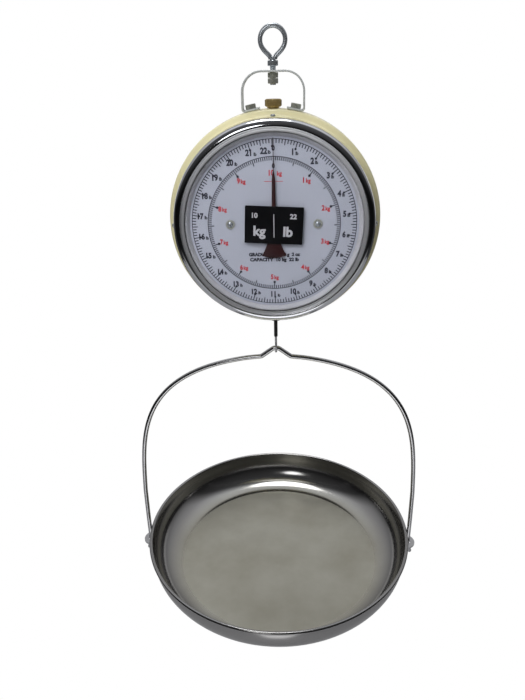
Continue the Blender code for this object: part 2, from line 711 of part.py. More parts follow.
def rack_outline():
    """A tooth gap is level with the pinion's centre, because a pinion tooth points straight at it."""
    below = 5
    above = below + math.ceil(LOAD_TRAVEL / TOOTH_PITCH)
    root_x = PINION_RADIUS + TOOTH_IN
    tip_x = PINION_RADIUS - TOOTH_OUT
    back_x = PINION_RADIUS + 6 * MM
    points = [(root_x, rack_low)]
    for tooth in range(-below, above):
        middle = (tooth + 0.5) * TOOTH_PITCH
        for share, x in ((-0.29, root_x), (-0.11, tip_x), (0.11, tip_x), (0.29, root_x)):
            points.append((x, middle + share * TOOTH_PITCH))
    top_z = (above + 1) * TOOTH_PITCH
    return points + [(root_x, top_z), (back_x, top_z), (back_x, rack_low)]


rack_loops = [rack_outline(), circle(SCREW_SHANK / 2 + GAP, 12, rack_screw_spot)]
rack_y = -CROSSBAR_SIZE[1] / 2 - GAP - RACK_SIZE_Y / 2
outline("rack_bar", rack_loops, RACK_SIZE_Y, brass, at(0, rack_y, HUB_Z, to_front))
rack_front = -rack_y + RACK_SIZE_Y / 2
rack_screw = [
    (0, rack_front + GAP + 1.8 * MM),
    (2.2 * MM, rack_front + GAP + 1.6 * MM),
    (2.9 * MM, rack_front + GAP + 0.8 * MM),
    (2.9 * MM, rack_front + GAP),
    (SCREW_SHANK / 2, rack_front + GAP),
    (SCREW_SHANK / 2, 1 * MM),
    (0, 1 * MM),
]
screw_place = at(rack_screw_spot[0], 0, CROSSBAR_Z, to_front)
turned("rack_screw", rack_screw, zinc, screw_place, 12, False)

# Crossbar that the springs pull up and the hook pulls down, and the yoke above
SPRING_HOLE = SPRING_WIRE + 1.2 * MM
HOOK_HOLE = HOOK_WIRE + 0.8 * MM


def drilled_bar(name, size, z, middle_hole, material):
    bar = box(name, size, (0, 0, z), material)
    reach = size[2]
    holes = [cylinder(name + "_hole", middle_hole, -reach, reach, place=at(z=z))]
    for side in (1, -1):
        end = at(side * SPRING_X, 0, z)
        holes.append(cylinder(name + "_end", SPRING_HOLE, -reach, reach, place=end, sides=12))
    return cut(bar, *holes)


crossbar = drilled_bar("load_crossbar", CROSSBAR_SIZE, CROSSBAR_Z, HOOK_HOLE, steel)
screw_hole = SCREW_SHANK + 2 * GAP
cut(crossbar, cylinder("rack_screw_hole", screw_hole, 0.5 * MM, 6 * MM, place=screw_place, sides=12))
ZERO_STEM = 5.2 * MM
YOKE_Z = HUB_Z + 62 * MM
drilled_bar("spring_yoke", CROSSBAR_SIZE, YOKE_Z, ZERO_STEM + 2 * GAP, steel)


def load_spring(name, x):
    """An extension spring whose straight ends pass through the yoke and the crossbar and turn over."""
    turns, steps = 9, 9
    radius = (SPRING_DIAMETER - SPRING_WIRE) / 2
    half_bar = CROSSBAR_SIZE[2] / 2
    high = YOKE_Z - half_bar - 7 * MM
    low = CROSSBAR_Z + half_bar + 7 * MM
    turn_over = SPRING_WIRE / 2 + GAP
    end_x = x + math.copysign(4 * MM, x)
    top = YOKE_Z + half_bar + turn_over
    bottom = CROSSBAR_Z - half_bar - turn_over
    points = [(end_x, 0, top), (x, 0, top), (x, 0, high + 3 * MM)]
    for i in range(turns * steps + 1):
        angle = 2 * math.pi * i / steps
        z = high + (low - high) * i / (turns * steps)
        points.append((x + radius * math.cos(angle), radius * math.sin(angle), z))
    points += [(x, 0, low - 3 * MM), (x, 0, bottom), (end_x, 0, bottom)]
    return wire(name, points, SPRING_WIRE, steel, 1)


load_spring("load_spring_right", SPRING_X)
load_spring("load_spring_left", -SPRING_X)

# Zero adjuster: a threaded bush in the drum top, held by a nut, and the brass knob in it
SEATING = 0.4 * MM  # a flat collar clears the drum's curve by this on the plumb line
COLLAR_RADIUS = 6.2 * MM
COLLAR_HEIGHT = 0.9 * MM
drum_top = HUB_Z + DRUM_RADIUS
bush_bore = ZERO_STEM / 2 + GAP
collar_low = drum_top + SEATING
collar_top = collar_low + COLLAR_HEIGHT
bush_low = drum_top - 8.5 * MM
bush_profile = [
    (COLLAR_RADIUS, collar_top),
    (COLLAR_RADIUS, collar_low),
    (BUSH_BARREL / 2, collar_low),
    (BUSH_BARREL / 2, bush_low),
    (bush_bore, bush_low),
    (bush_bore, collar_top),
]
turned("zero_bush", bush_profile, brass, at())
bush_nut_z = HUB_Z + BRACKET_INNER - 0.7 * MM - 3 * MM
hex_nut("zero_bush_nut", bush_nut_z, BUSH_BARREL + 2 * GAP, zinc, at(), 13 * MM, 3 * MM)
KNOB_RADIUS = 8.4 * MM
KNOB_HEIGHT = 7.2 * MM
KNOB_BEVEL = 0.8 * MM
knob_low = collar_top + GAP
knob_high = knob_low + KNOB_HEIGHT
stem_low = YOKE_Z - CROSSBAR_SIZE[2]
knob_profile = [
    (0, knob_high),
    (KNOB_RADIUS - KNOB_BEVEL, knob_high),
    (KNOB_RADIUS, knob_high - KNOB_BEVEL),
    (KNOB_RADIUS, knob_low + KNOB_BEVEL),
    (KNOB_RADIUS - KNOB_BEVEL, knob_low),
    (ZERO_STEM / 2, knob_low),
    (ZERO_STEM / 2, stem_low),
    (0, stem_low),
]
turned("zero_knob", knob_profile, brass, at(), 24, False)

# Guide bush in the drum bottom, with its nut
SLEEVE = HOOK_WIRE + 1.6 * MM
drum_bottom = HUB_Z - DRUM_RADIUS
guide_bore = SLEEVE / 2 + 0.35 * MM
guide_top = drum_bottom + 6.5 * MM
flange_top = drum_bottom - SEATING
flange_low = flange_top - 2 * MM
flange_radius = 7 * MM
guide_profile = [
    (GUIDE_BARREL / 2, guide_top),
    (GUIDE_BARREL / 2, flange_top),
    (flange_radius, flange_top),
    (flange_radius, flange_low),
    (guide_bore, flange_low),
    (guide_bore, guide_top),
]
turned("guide_bush", guide_profile, sleeve_black, at())
guide_nut_z = drum_bottom + DRUM_WALL + 0.6 * MM
hex_nut("guide_bush_nut", guide_nut_z, GUIDE_BARREL + 2 * GAP, zinc, at(), 12 * MM, 3 * MM)

# Hook: one wire from the crossbar to the seat, with a black sleeve and a nut on top
HOOK_RADIUS = (BAIL_WIRE + HOOK_WIRE) / 2 + GAP
hook_top_z = CROSSBAR_Z + CROSSBAR_SIZE[2] / 2
SLEEVE_END_Z = SEAT_Z + 15 * MM


def load_hook():
    bowl = arc(HOOK_RADIUS, 0, -math.pi, 10, (0, SEAT_Z))
    shank = [Vector((0, 0, hook_top_z + 4.5 * MM)), Vector((0, 0, SEAT_Z + 9.5 * MM))]
    sweep = bezier(
        shank[1], shank[1] - Vector((0, 0, 4 * MM)),
        Vector((0, HOOK_RADIUS, SEAT_Z + 4 * MM)), Vector((0, HOOK_RADIUS, SEAT_Z)), 6,
    )
    tip = [(-HOOK_RADIUS - 0.2 * MM, SEAT_Z + 3 * MM), (-HOOK_RADIUS - 0.9 * MM, SEAT_Z + 5 * MM)]
    path = shank[:1] + sweep + [Vector((0, y, z)) for y, z in bowl[1:] + tip]
    return wire("load_hook", path, HOOK_WIRE, chrome, 3)


load_hook()
sleeve_top = CROSSBAR_Z - CROSSBAR_SIZE[2] / 2 - 3 * MM
sleeve_bore = HOOK_WIRE / 2 + GAP
sleeve_profile = [
    (SLEEVE / 2, sleeve_top),
    (SLEEVE / 2, SLEEVE_END_Z),
    (sleeve_bore, SLEEVE_END_Z),
    (sleeve_bore, sleeve_top),
]
turned("hook_sleeve", sleeve_profile, sleeve_black, at(), 16)
hex_nut("hook_nut", hook_top_z + GAP, HOOK_WIRE + 2 * GAP, zinc, at(), 5.5 * MM, 2.4 * MM)

# Bail: one wire over the hook, down both sides and through the ears
EAR_DROP = 25 * MM
EAR_Z = RIM_Z - EAR_DROP
EAR_SHEET = 1.8 * MM
BAIL_HALF = PAN_RADIUS + BAIL_WIRE / 2 + 0.75 * MM


def half_bail():
    """The right-hand half, from the middle of the hook seat to the wire's end under the ear."""
    seat = Vector((0, 0, SEAT_Z))
    kink = seat + Vector((17.5 * MM, 0, -11 * MM))
    shoulder_end = Vector((BAIL_HALF - 0.5 * MM, 0, SEAT_Z - 0.78 * BAIL_HEIGHT))
    across = shoulder_end.x - kink.x
    shoulder = bezier(
        kink + Vector((6 * MM, 0, -0.3 * MM)), kink + Vector((0.97, 0, -0.115)) * across,
        shoulder_end + Vector((-0.03, 0, 0.55)) * across, shoulder_end, 16,
    )
    apex = seat + Vector((0, 0, 1.95 * MM))
    peak = rounded([Vector((-kink.x, 0, kink.z)), apex, kink], [8 * MM], 6)[4:-1]
    bend = rounded([peak[-1], kink, shoulder[1]], [6 * MM], 3)[1:-1]
    above, level, below, under = [Vector((BAIL_HALF, 0, EAR_Z + rise * MM)) for rise in (40, 0, -3.6, -12)]
    flare = math.radians(38)
    stub = under + Vector((math.sin(flare), 0, -math.cos(flare))) * 7 * MM
    leg = rounded([shoulder_end, above, level], [60 * MM], 2)
    end = rounded([level, below, stub], [6 * MM], 4)
    return peak + bend + shoulder[1:-1] + leg[:-1] + end[1:]


bail_right = half_bail()
bail_left = [Vector((-point.x, 0, point.z)) for point in reversed(bail_right[1:])]
wire("bail", bail_left + bail_right, BAIL_WIRE, chrome)

# Pan: a turned dish with a rolled rim
BEAD = 2.2 * MM
WALL_OUT = PAN_RADIUS - 3 * MM
CURVE = 37 * MM


def pan_profile():
    """Down the outside from the rim bead, across the floor, and up the inside."""
    bead_centre = (PAN_RADIUS - BEAD, RIM_Z - BEAD)
    bead = arc(BEAD, math.radians(150), math.radians(-60), 7, bead_centre)
    curve_centre = (WALL_OUT - CURVE, RIM_Z - PAN_DEPTH + CURVE)
    outside = arc(CURVE, 0, -upright, 7, curve_centre)
    inside = arc(CURVE - PAN_SHEET, -upright, 0, 7, curve_centre)
    floor = RIM_Z - PAN_DEPTH
    return bead + outside + [(0, floor), (0, floor + PAN_SHEET)] + inside


pan_points = pan_profile()
pan = turned("weighing_pan", pan_points, stainless, at(), 56, closed=False)
pan.data.edges.add(1)
pan.data.edges[-1].vertices = (len(pan_points) - 1, 0)


# Ears: bent sheet, welded to the pan wall, each with a slot for the wire
def pan_ear(name, side):
    curve_centre = (WALL_OUT - CURVE, RIM_Z - PAN_DEPTH + CURVE)
    low = math.asin((EAR_Z - curve_centre[1]) / CURVE)
    back = arc(CURVE + GAP, low, 0, 4, curve_centre)
    face = arc(CURVE + GAP + EAR_SHEET, 0, low + 0.06, 4, curve_centre)
    reach = PAN_RADIUS + 14 * MM
    half = EAR_SHEET / 2
    profile = face + [(reach, EAR_Z + half), (reach, EAR_Z - half), (back[0][0], EAR_Z - half)] + back
    ring = turned(name, profile, stainless, at(), 120)
    centre = (side * (BAIL_HALF - 4 * MM), 0, EAR_Z)
    keep = cylinder(name + "_blank", 26 * MM, -30 * MM, 60 * MM, place=at(*centre), sides=32)
    combine(ring, "INTERSECT", [keep])
    slot_size = (BAIL_WIRE + 0.9 * MM, BAIL_WIRE + 3.2 * MM, 12 * MM)
    return cut(ring, box(name + "_slot", slot_size, (side * BAIL_HALF, 0, EAR_Z)))


pan_ear("pan_ear_right", 1)
pan_ear("pan_ear_left", -1)

# Each moving group hangs from an empty on its joint's axis
JOINT_GROUPS = (
    ("eye_swivel", None, (0, 0, STRAP_TOP_Z), (
        "hanging_strap", "strap_", "drum_housing", "bezel_", "lens", "dial_", "name_plate", "chassis_",
        "arbor_bush", "zero_bush", "guide_bush",
    )),
    ("zero_turn", "eye_swivel", (0, 0, drum_top), ("zero_knob",)),
    ("yoke_slide", "eye_swivel", (0, 0, YOKE_Z), ("spring_yoke", "load_spring")),
    ("pointer_turn", "eye_swivel", (0, 0, HUB_Z), ("pointer", "pinion_gear")),
    ("load_slide", "eye_swivel", (0, 0, CROSSBAR_Z), ("load_crossbar", "rack_")),
    ("hook_swivel", "load_slide", (0, 0, CROSSBAR_Z), ("load_hook", "hook_")),
    ("bail_tilt", "hook_swivel", (0, 0, SEAT_Z), ("bail",)),
    ("pan_tilt", "bail_tilt", (0, 0, EAR_Z), ("weighing_pan", "pan_ear")),
)


def hang_from(holder, piece):
    piece.parent = holder
    piece.matrix_parent_inverse = holder.matrix_world.inverted()


for joint_name, holder_name, spot, starts in JOINT_GROUPS:
    pivot = bpy.data.objects.new(joint_name, None)
    pivot.empty_display_size = 10 * MM
    pivot.location = spot
    scale_parts.objects.link(pivot)
    bpy.context.view_layer.update()
    pieces = [piece for piece in scale_parts.objects if piece.type != "EMPTY"]
    members = [piece for piece in pieces if piece.name.startswith(starts)]
    if holder_name:
        hang_from(bpy.data.objects[holder_name], pivot)
    bpy.context.view_layer.update()
    for piece in members:
        hang_from(pivot, piece)
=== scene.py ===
# %% [markdown]
# # A hanging dial scale
# The scale hangs from an eye. Below the eye come a bent strap, a cream drum with a printed dial
# behind a lens, a hook on a sprung rod, a wire bail and a round pan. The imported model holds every
# piece at its real size and place. This lesson gives each piece that shows its final surface, and
# never moves anything.

# %% Load the frame
import math

import bmesh
import bpy
from mathutils import Matrix, Vector
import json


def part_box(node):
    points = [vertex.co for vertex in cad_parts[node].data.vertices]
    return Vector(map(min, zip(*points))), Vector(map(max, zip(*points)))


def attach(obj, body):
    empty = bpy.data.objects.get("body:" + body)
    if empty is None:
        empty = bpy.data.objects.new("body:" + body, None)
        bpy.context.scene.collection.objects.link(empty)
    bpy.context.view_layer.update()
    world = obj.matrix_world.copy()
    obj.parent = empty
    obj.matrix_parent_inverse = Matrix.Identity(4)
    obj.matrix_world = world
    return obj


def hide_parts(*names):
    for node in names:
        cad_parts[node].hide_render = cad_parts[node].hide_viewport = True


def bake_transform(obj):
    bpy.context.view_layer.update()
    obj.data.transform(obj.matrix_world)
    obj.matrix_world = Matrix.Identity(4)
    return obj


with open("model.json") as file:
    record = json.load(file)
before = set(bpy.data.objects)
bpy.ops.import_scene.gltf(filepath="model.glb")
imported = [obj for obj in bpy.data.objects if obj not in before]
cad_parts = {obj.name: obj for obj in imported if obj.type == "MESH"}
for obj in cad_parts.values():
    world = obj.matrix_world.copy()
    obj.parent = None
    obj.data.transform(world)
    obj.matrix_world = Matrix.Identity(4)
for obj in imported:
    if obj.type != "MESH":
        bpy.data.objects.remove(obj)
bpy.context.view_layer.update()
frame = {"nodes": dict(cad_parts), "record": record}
MM = 0.001

# %% [markdown]
# ## Places
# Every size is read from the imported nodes, so a piece can't drift from its neighbours. The hub is
# the middle of the dial, the drum faces -Y, and the plumb line is x = 0, y = 0.

# %% Places


def middle(node):
    low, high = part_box(node)
    return (low + high) / 2


HUB = middle("lens")
HUB.y = 0
DRUM_LOW, DRUM_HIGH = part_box("drum_housing")
DRUM_RADIUS = (DRUM_HIGH.x - DRUM_LOW.x) / 2
BEZEL_LOW, BEZEL_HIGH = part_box("bezel_ring")
BEZEL_RADIUS = (BEZEL_HIGH.x - BEZEL_LOW.x) / 2
DIAL_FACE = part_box("dial_plate")[0].y
PAN_LOW, PAN_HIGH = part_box("weighing_pan")
PAN_RADIUS = (PAN_HIGH.x - PAN_LOW.x) / 2
SEAT_Z = frame["record"]["behaviour"]["joints"][6]["pos_m"][2]
EAR_Z = frame["record"]["behaviour"]["joints"][7]["pos_m"][2]
FACING = Matrix.Translation(HUB) @ Matrix.Rotation(math.pi / 2, 4, "X")  # local +Z towards the reader
UPRIGHT = Matrix.Identity(4)
print(f"drum {DRUM_RADIUS * 2000:.0f} mm, pan {PAN_RADIUS * 2000:.0f} mm, hub at z {HUB.z * 1000:.1f} mm")

# %% [markdown]
# ## Camera
# A person holds the camera just below the eye and about 0.6 m in front, and tilts it down so that
# the whole scale fits. A camera needs three directions, so they are stated as one turn about X,
# then Z, with a small roll.

# %% Camera
lens_data = bpy.data.cameras.new("camera")
lens_data.lens = 30.46
lens_data.sensor_width = 36
camera = bpy.data.objects.new("camera", lens_data)
bpy.context.scene.collection.objects.link(camera)
TILT_DOWN, TURN_LEFT, ROLL = math.radians(24.74), math.radians(2.97), math.radians(1.25)
aim = Matrix.Rotation(TURN_LEFT, 4, "Z") @ Matrix.Rotation(math.pi / 2 - TILT_DOWN, 4, "X")
camera.matrix_world = Matrix.Translation((0.0169, -0.634, -0.0419)) @ aim @ Matrix.Rotation(-ROLL, 4, "Z")
bpy.context.scene.camera = camera
bpy.context.scene.view_settings.view_transform = "Standard"
print("camera", [round(v, 3) for v in camera.location])

# %% [markdown]
# ## Node helpers
# Materials, the studio light and the repeated marks are all node trees. Writing out every link
# hides what a tree does, so `node` adds a node and fills its inputs in one line: a plain value is
# set, and a socket is linked.

# %% Node helpers


def feed(tree, target, value):
    """Links a socket into an input, or sets the input to a plain value."""
    if isinstance(value, bpy.types.NodeSocket):
        tree.links.new(value, target)
    else:
        target.default_value = value


def node(tree, kind, **settings):
    """Adds a node. A setting named after an input fills it, and any other is the node's own."""
    made = tree.nodes.new(kind)
    for key, value in settings.items():
        label = key.replace("_", " ")
        if label in made.inputs:
            feed(tree, made.inputs[label], value)
        else:
            setattr(made, key, value)
    return made


def maths(tree, operation, *values):
    made = node(tree, "ShaderNodeMath", operation=operation)
    for target, value in zip(made.inputs, values):
        feed(tree, target, value)
    return made.outputs[0]


def between(tree, value, low, high, at_low=0.0, at_high=1.0):
    """Goes evenly from at_low to at_high while the value goes from low to high, and stays there."""
    made = node(tree, "ShaderNodeMapRange", From_Min=low, From_Max=high, To_Min=at_low, To_Max=at_high)
    feed(tree, made.inputs["Value"], value)
    return made.outputs["Result"]


def vector(tree, x=0.0, y=0.0, z=0.0):
    return node(tree, "ShaderNodeCombineXYZ", X=x, Y=y, Z=z).outputs[0]


def for_rays(tree, kind, usual, other):
    """A shader that is the other one for rays of one kind, such as those that the camera sends."""
    path = node(tree, "ShaderNodeLightPath")
    mix = node(tree, "ShaderNodeMixShader", Fac=path.outputs[kind])
    feed(tree, mix.inputs[1], usual)
    feed(tree, mix.inputs[2], other)
    return mix.outputs[0]


def new_tree(kind, name, inputs, outputs):
    """A tree with inputs (name, kind, default) and outputs (name, kind), and its two ends."""
    tree = bpy.data.node_groups.new(name, kind)
    for label, socket_kind, value in inputs:
        made = tree.interface.new_socket(label, in_out="INPUT", socket_type="NodeSocket" + socket_kind)
        if value is not None:
            made.default_value = value
    for label, socket_kind in outputs:
        tree.interface.new_socket(label, in_out="OUTPUT", socket_type="NodeSocket" + socket_kind)
    return tree, node(tree, "NodeGroupInput").outputs, node(tree, "NodeGroupOutput").inputs


def on_object(tree):
    return node(tree, "ShaderNodeTexCoord").outputs["Object"]


print("node helpers ready")

# %% [markdown]
# ## Shared finishes
# Metal and paint are never one even colour. Three small node groups are shared by the materials:
# `cloudy` mixes two colours in soft patches, `fine_bump` gives a shallow grain, and `scuffs` makes
# thin long scratches. Each group gives only a colour, a mask or a normal, so the shader itself
# stays in the material.

# %% Node groups


def make_cloudy():
    inputs = [("Color", "Color", None), ("Patch", "Color", None)]
    inputs += [("Scale", "Float", 30.0), ("Amount", "Float", 0.5)]
    tree, given, result = new_tree("ShaderNodeTree", "cloudy", inputs, [("Color", "Color"), ("Mask", "Float")])
    place = on_object(tree)
    noise = node(tree, "ShaderNodeTexNoise", Detail=5.0, Roughness=0.6, Scale=given["Scale"], Vector=place)
    mask = between(tree, noise.outputs["Fac"], 0.35, 0.7)
    share = maths(tree, "MULTIPLY", mask, given["Amount"])
    mix = node(tree, "ShaderNodeMixRGB", Fac=share, Color1=given["Color"], Color2=given["Patch"])
    feed(tree, result["Color"], mix.outputs[0])
    feed(tree, result["Mask"], mask)
    return tree


def make_fine_bump():
    inputs = [("Scale", "Float", 900.0), ("Height", "Float", 0.1)]
    tree, given, result = new_tree("ShaderNodeTree", "fine_bump", inputs, [("Normal", "Vector")])
    noise = node(tree, "ShaderNodeTexNoise", Detail=3.0, Scale=given["Scale"], Vector=on_object(tree))
    bump = node(tree, "ShaderNodeBump", Distance=0.0001, Strength=given["Height"], Height=noise.outputs["Fac"])
    feed(tree, result["Normal"], bump.outputs["Normal"])
    return tree


def make_scuffs():
    inputs = [("Scale", "Float", 60.0), ("Width", "Float", 0.02)]
    tree, given, result = new_tree("ShaderNodeTree", "scuffs", inputs, [("Mask", "Float")])
    masks = []
    for turn in (0.4, 1.7):
        stretched = node(tree, "ShaderNodeMapping", Scale=(1, 0.06, 1), Rotation=(0, 0, turn))
        feed(tree, stretched.inputs["Vector"], on_object(tree))
        cells = node(tree, "ShaderNodeTexVoronoi", feature="DISTANCE_TO_EDGE", Scale=given["Scale"])
        feed(tree, cells.inputs["Vector"], stretched.outputs["Vector"])
        masks.append(maths(tree, "LESS_THAN", cells.outputs["Distance"], given["Width"]))
    feed(tree, result["Mask"], maths(tree, "MAXIMUM", *masks))
    return tree


CLOUDY, FINE_BUMP, SCUFFS = make_cloudy(), make_fine_bump(), make_scuffs()
print("node groups:", [group.name for group in (CLOUDY, FINE_BUMP, SCUFFS)])

# %% [markdown]
# ## Materials
# `finish` builds a material from the groups: a patchy base colour, a roughness that follows the
# same patches, and a fine bump. Metals differ mostly in roughness: bright wire is nearly a mirror,
# zinc is dull and slightly green, and brass is darkened by handling. A plated or lacquered metal is
# given less than full metallic, because its dull skin also scatters light.

# %% Materials


def finish(
    name, color, patch, roughness, metallic=0.0, amount=0.5, scale=30.0, grain=900.0, height=0.1, coat=0.0
):
    """A colour with patches of another, a (low, high) roughness that follows them, and a fine bump."""
    made = bpy.data.materials.new(name)
    made.use_nodes = True
    tree = made.node_tree
    shader = tree.nodes["Principled BSDF"]
    patches = node(
        tree, "ShaderNodeGroup", node_tree=CLOUDY, Color=(*color, 1), Patch=(*patch, 1),
        Scale=scale, Amount=amount,
    )
    rough = between(tree, patches.outputs["Mask"], 0.0, 1.0, *roughness)
    for label, value in (
        ("Base Color", patches.outputs["Color"]), ("Roughness", rough), ("Metallic", metallic),
        ("Coat Weight", coat), ("Coat Roughness", 0.08),
    ):
        feed(tree, shader.inputs[label], value)
    if height:
        bump = node(tree, "ShaderNodeGroup", node_tree=FINE_BUMP, Scale=grain, Height=height)
        feed(tree, shader.inputs["Normal"], bump.outputs["Normal"])
    return made


CREAM = finish("cream enamel", (0.92, 0.86, 0.54), (0.88, 0.82, 0.50), (0.28, 0.38), height=0.06, coat=0.4)
WIRE_CHROME = finish("bright wire", (0.62, 0.62, 0.63), (0.45, 0.45, 0.45), (0.14, 0.24), 1, 0.5, 60, height=0)
ZINC = finish("zinc plate", (0.58, 0.59, 0.54), (0.40, 0.41, 0.34), (0.28, 0.5), 0.6, 0.8, 220, height=0.06)
EYE_ZINC = finish("bright zinc", (0.60, 0.64, 0.68), (0.46, 0.50, 0.53), (0.18, 0.32), 0.75, 0.6, 160, height=0)
STRAP = finish("strap paint", (0.70, 0.73, 0.73), (0.60, 0.63, 0.62), (0.3, 0.45), 0.2, 0.6, 90)
BRASS = finish("dull brass", (0.62, 0.47, 0.22), (0.42, 0.30, 0.12), (0.32, 0.5), 0.7, 0.8, 260, height=0.05)
STEEL = finish("spring steel", (0.32, 0.32, 0.33), (0.2, 0.2, 0.21), (0.3, 0.5), 1.0, 0.6, 160)
# Painted shade: the dial's real white is coloured a darker lavender grey, which stands in for the shade on it.
DIAL = finish("dial enamel", (0.50, 0.52, 0.60), (0.46, 0.48, 0.55), (0.4, 0.5), 0.0, 0.4, 25, height=0.03)
# Painted shade: the surround's white is coloured grey, for the shaded band at the dial's margin.
RIM_GREY = finish("surround paint", (0.52, 0.52, 0.55), (0.44, 0.43, 0.45), (0.4, 0.6), 0.0, 0.5, 60)
INK = finish("black ink", (0.02, 0.02, 0.035), (0.035, 0.035, 0.05), (0.5, 0.6), height=0.02)
RED_INK = finish("red ink", (0.62, 0.02, 0.03), (0.5, 0.03, 0.04), (0.5, 0.6), height=0.02)
SILVER_INK = finish("silver ink", (0.55, 0.55, 0.58), (0.45, 0.45, 0.48), (0.45, 0.6), height=0.02)
PLATE = finish("black plate", (0.003, 0.003, 0.004), (0.006, 0.006, 0.007), (0.4, 0.55), height=0.03)
PLATE.node_tree.nodes["Principled BSDF"].inputs["Specular IOR Level"].default_value = 0.12
POINTER = finish("dark red enamel", (0.030, 0.004, 0.005), (0.020, 0.003, 0.004), (0.35, 0.5))
RUBBER = finish("gasket rubber", (0.035, 0.028, 0.024), (0.05, 0.045, 0.04), (0.6, 0.8), height=0.3)
SLEEVE = finish("black sleeve", (0.006, 0.006, 0.006), (0.012, 0.012, 0.012), (0.5, 0.65))

# %% [markdown]
# ## Materials that change over a piece
# The bezel is a mirror on its roll but duller on the slope beside the lens, and the pan has a satin
# floor inside a polished wall. Both are turned pieces, so the distance from their axis tells the
# two finishes apart. The lens lets light through to the dial: a ray that only asks for shadow
# passes it as if it weren't there.

# %% Bezel, pan and lens materials


def reach_from(tree, centre, across):
    """A point's distance from an axis through the centre. across is 1 for the two directions that count."""
    flat = node(tree, "ShaderNodeMapping", Location=-centre, Scale=across, Vector=on_object(tree))
    length = node(tree, "ShaderNodeVectorMath", operation="LENGTH", Vector=flat.outputs["Vector"])
    return length.outputs["Value"]


def bezel_chrome():
    made = finish("bezel chrome", (0.78, 0.79, 0.82), (0.68, 0.69, 0.72), (0.06, 0.12), 1.0, 0.5, 45, height=0)
    tree = made.node_tree
    shader = tree.nodes["Principled BSDF"]
    reach = reach_from(tree, HUB, (1, 0, 1))
    edge = BEZEL_RADIUS - 8.5 * MM
    for label, slope, roll in (("Roughness", 0.34, 0.08), ("Metallic", 0.7, 1.0)):
        feed(tree, shader.inputs[label], between(tree, reach, edge, edge + 1.5 * MM, slope, roll))
    return made


def pan_steel():
    made = finish("pan steel", (0.50, 0.49, 0.42), (0.37, 0.35, 0.28), (0.3, 0.36), 1.0, 0.7, 14, height=0.02)
    tree = made.node_tree
    shader = tree.nodes["Principled BSDF"]
    reach = reach_from(tree, Vector(), (1, 1, 0))
    edge = PAN_RADIUS - 42 * MM
    # Painted shade: outwards from the floor's edge the colour turns a darker grey, so the polished wall looks
    # darker than the floor.
    wall_shade = node(tree, "ShaderNodeMixRGB", Fac=between(tree, reach, edge, edge + 24 * MM))
    feed(tree, wall_shade.inputs["Color1"], shader.inputs["Base Color"].links[0].from_socket)
    feed(tree, wall_shade.inputs["Color2"], (0.38, 0.375, 0.37, 1))
    feed(tree, shader.inputs["Base Color"], wall_shade.outputs[0])
    patches = node(tree, "ShaderNodeGroup", node_tree=CLOUDY, Scale=35.0, Amount=1.0)
    satin = between(tree, patches.outputs["Mask"], 0.0, 1.0, 0.36, 0.48)
    lines = node(tree, "ShaderNodeGroup", node_tree=SCUFFS, Scale=16.0, Width=0.002)
    scratched = maths(tree, "ADD", maths(tree, "MULTIPLY", lines.outputs["Mask"], -0.06), satin)
    wall = between(tree, reach, edge, edge + 2.5 * MM)
    polish = node(tree, "ShaderNodeMix", data_type="FLOAT", Factor=wall, A=scratched, B=0.15)
    feed(tree, shader.inputs["Roughness"], polish.outputs["Result"])
    return made


def lens_glass():
    made = bpy.data.materials.new("lens glass")
    made.use_nodes = True
    tree = made.node_tree
    shader = tree.nodes["Principled BSDF"]
    clean, dusty = (0.97, 0.98, 1, 1), (0.90, 0.91, 0.93, 1)
    dust = node(tree, "ShaderNodeGroup", node_tree=CLOUDY, Color=clean, Patch=dusty, Scale=40.0)
    haze = between(tree, dust.outputs["Mask"], 0.0, 1.0, 0.0, 0.002)
    for label, value in (
        ("Transmission Weight", 1.0), ("IOR", 1.45), ("Specular IOR Level", 0.25),
        ("Base Color", dust.outputs["Color"]), ("Roughness", haze),
    ):
        feed(tree, shader.inputs[label], value)
    clear = node(tree, "ShaderNodeBsdfTransparent")
    whole = for_rays(tree, "Is Shadow Ray", shader.outputs[0], clear.outputs[0])
    feed(tree, tree.nodes["Material Output"].inputs["Surface"], whole)
    return made


BEZEL_CHROME, PAN_STEEL, GLASS = bezel_chrome(), pan_steel(), lens_glass()
print("materials:", len(bpy.data.materials))

# %% [markdown]
# ## Shapes
# Most pieces are turned on a lathe, bent from wire or strip, or cut from bar. So four helpers make
# nearly all of them: `lathe` turns a profile, `soften` rounds a profile's corners first, `wire`
# draws a round wire along a path, and `hexagon` cuts a chamfered hexagon with an optional bore.
# `keep` hands a finished piece to its body.

# %% Helpers


def keep(piece, material, body, slot, *nodes):
    """Gives a finished piece its material, its body and the nodes that it stands for."""
    piece.data.materials.clear()
    piece.data.materials.append(material)
    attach(piece, body)
    if nodes:
        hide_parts(*nodes)
    print(f"{piece.name}: {len(piece.data.polygons)} faces, rides on {body}")
    return piece


def mesh_piece(name, shape, degrees=30):
    """A bmesh as an object at the origin, shaded smooth but for its sharp edges."""
    bmesh.ops.remove_doubles(shape, verts=shape.verts, dist=1e-6)
    bmesh.ops.recalc_face_normals(shape, faces=shape.faces)
    mesh = bpy.data.meshes.new(name)
    shape.to_mesh(mesh)
    shape.free()
    mesh.shade_smooth()
    mesh.set_sharp_from_angle(angle=math.radians(degrees))
    piece = bpy.data.objects.new(name, mesh)
    bpy.context.scene.collection.objects.link(piece)
    return piece


def soften(points, radius, steps=3, closed=True):
    """Rounds the corners of a 2D profile, each by at most a third of its shorter side."""
    count = len(points)
    corners = [Vector(point) for point in points]
    result = []
    for i, corner in enumerate(corners):
        if not closed and i in (0, count - 1):
            result.append(tuple(corner))
            continue
        before, after = corners[i - 1], corners[(i + 1) % count]
        reach = min(radius, (before - corner).length / 3, (after - corner).length / 3)
        start = corner + (before - corner).normalized() * reach
        end = corner + (after - corner).normalized() * reach
        for step in range(steps + 1):
            t = step / steps
            result.append(tuple(start * (1 - t) ** 2 + corner * (2 * t * (1 - t)) + end * t**2))
    return result


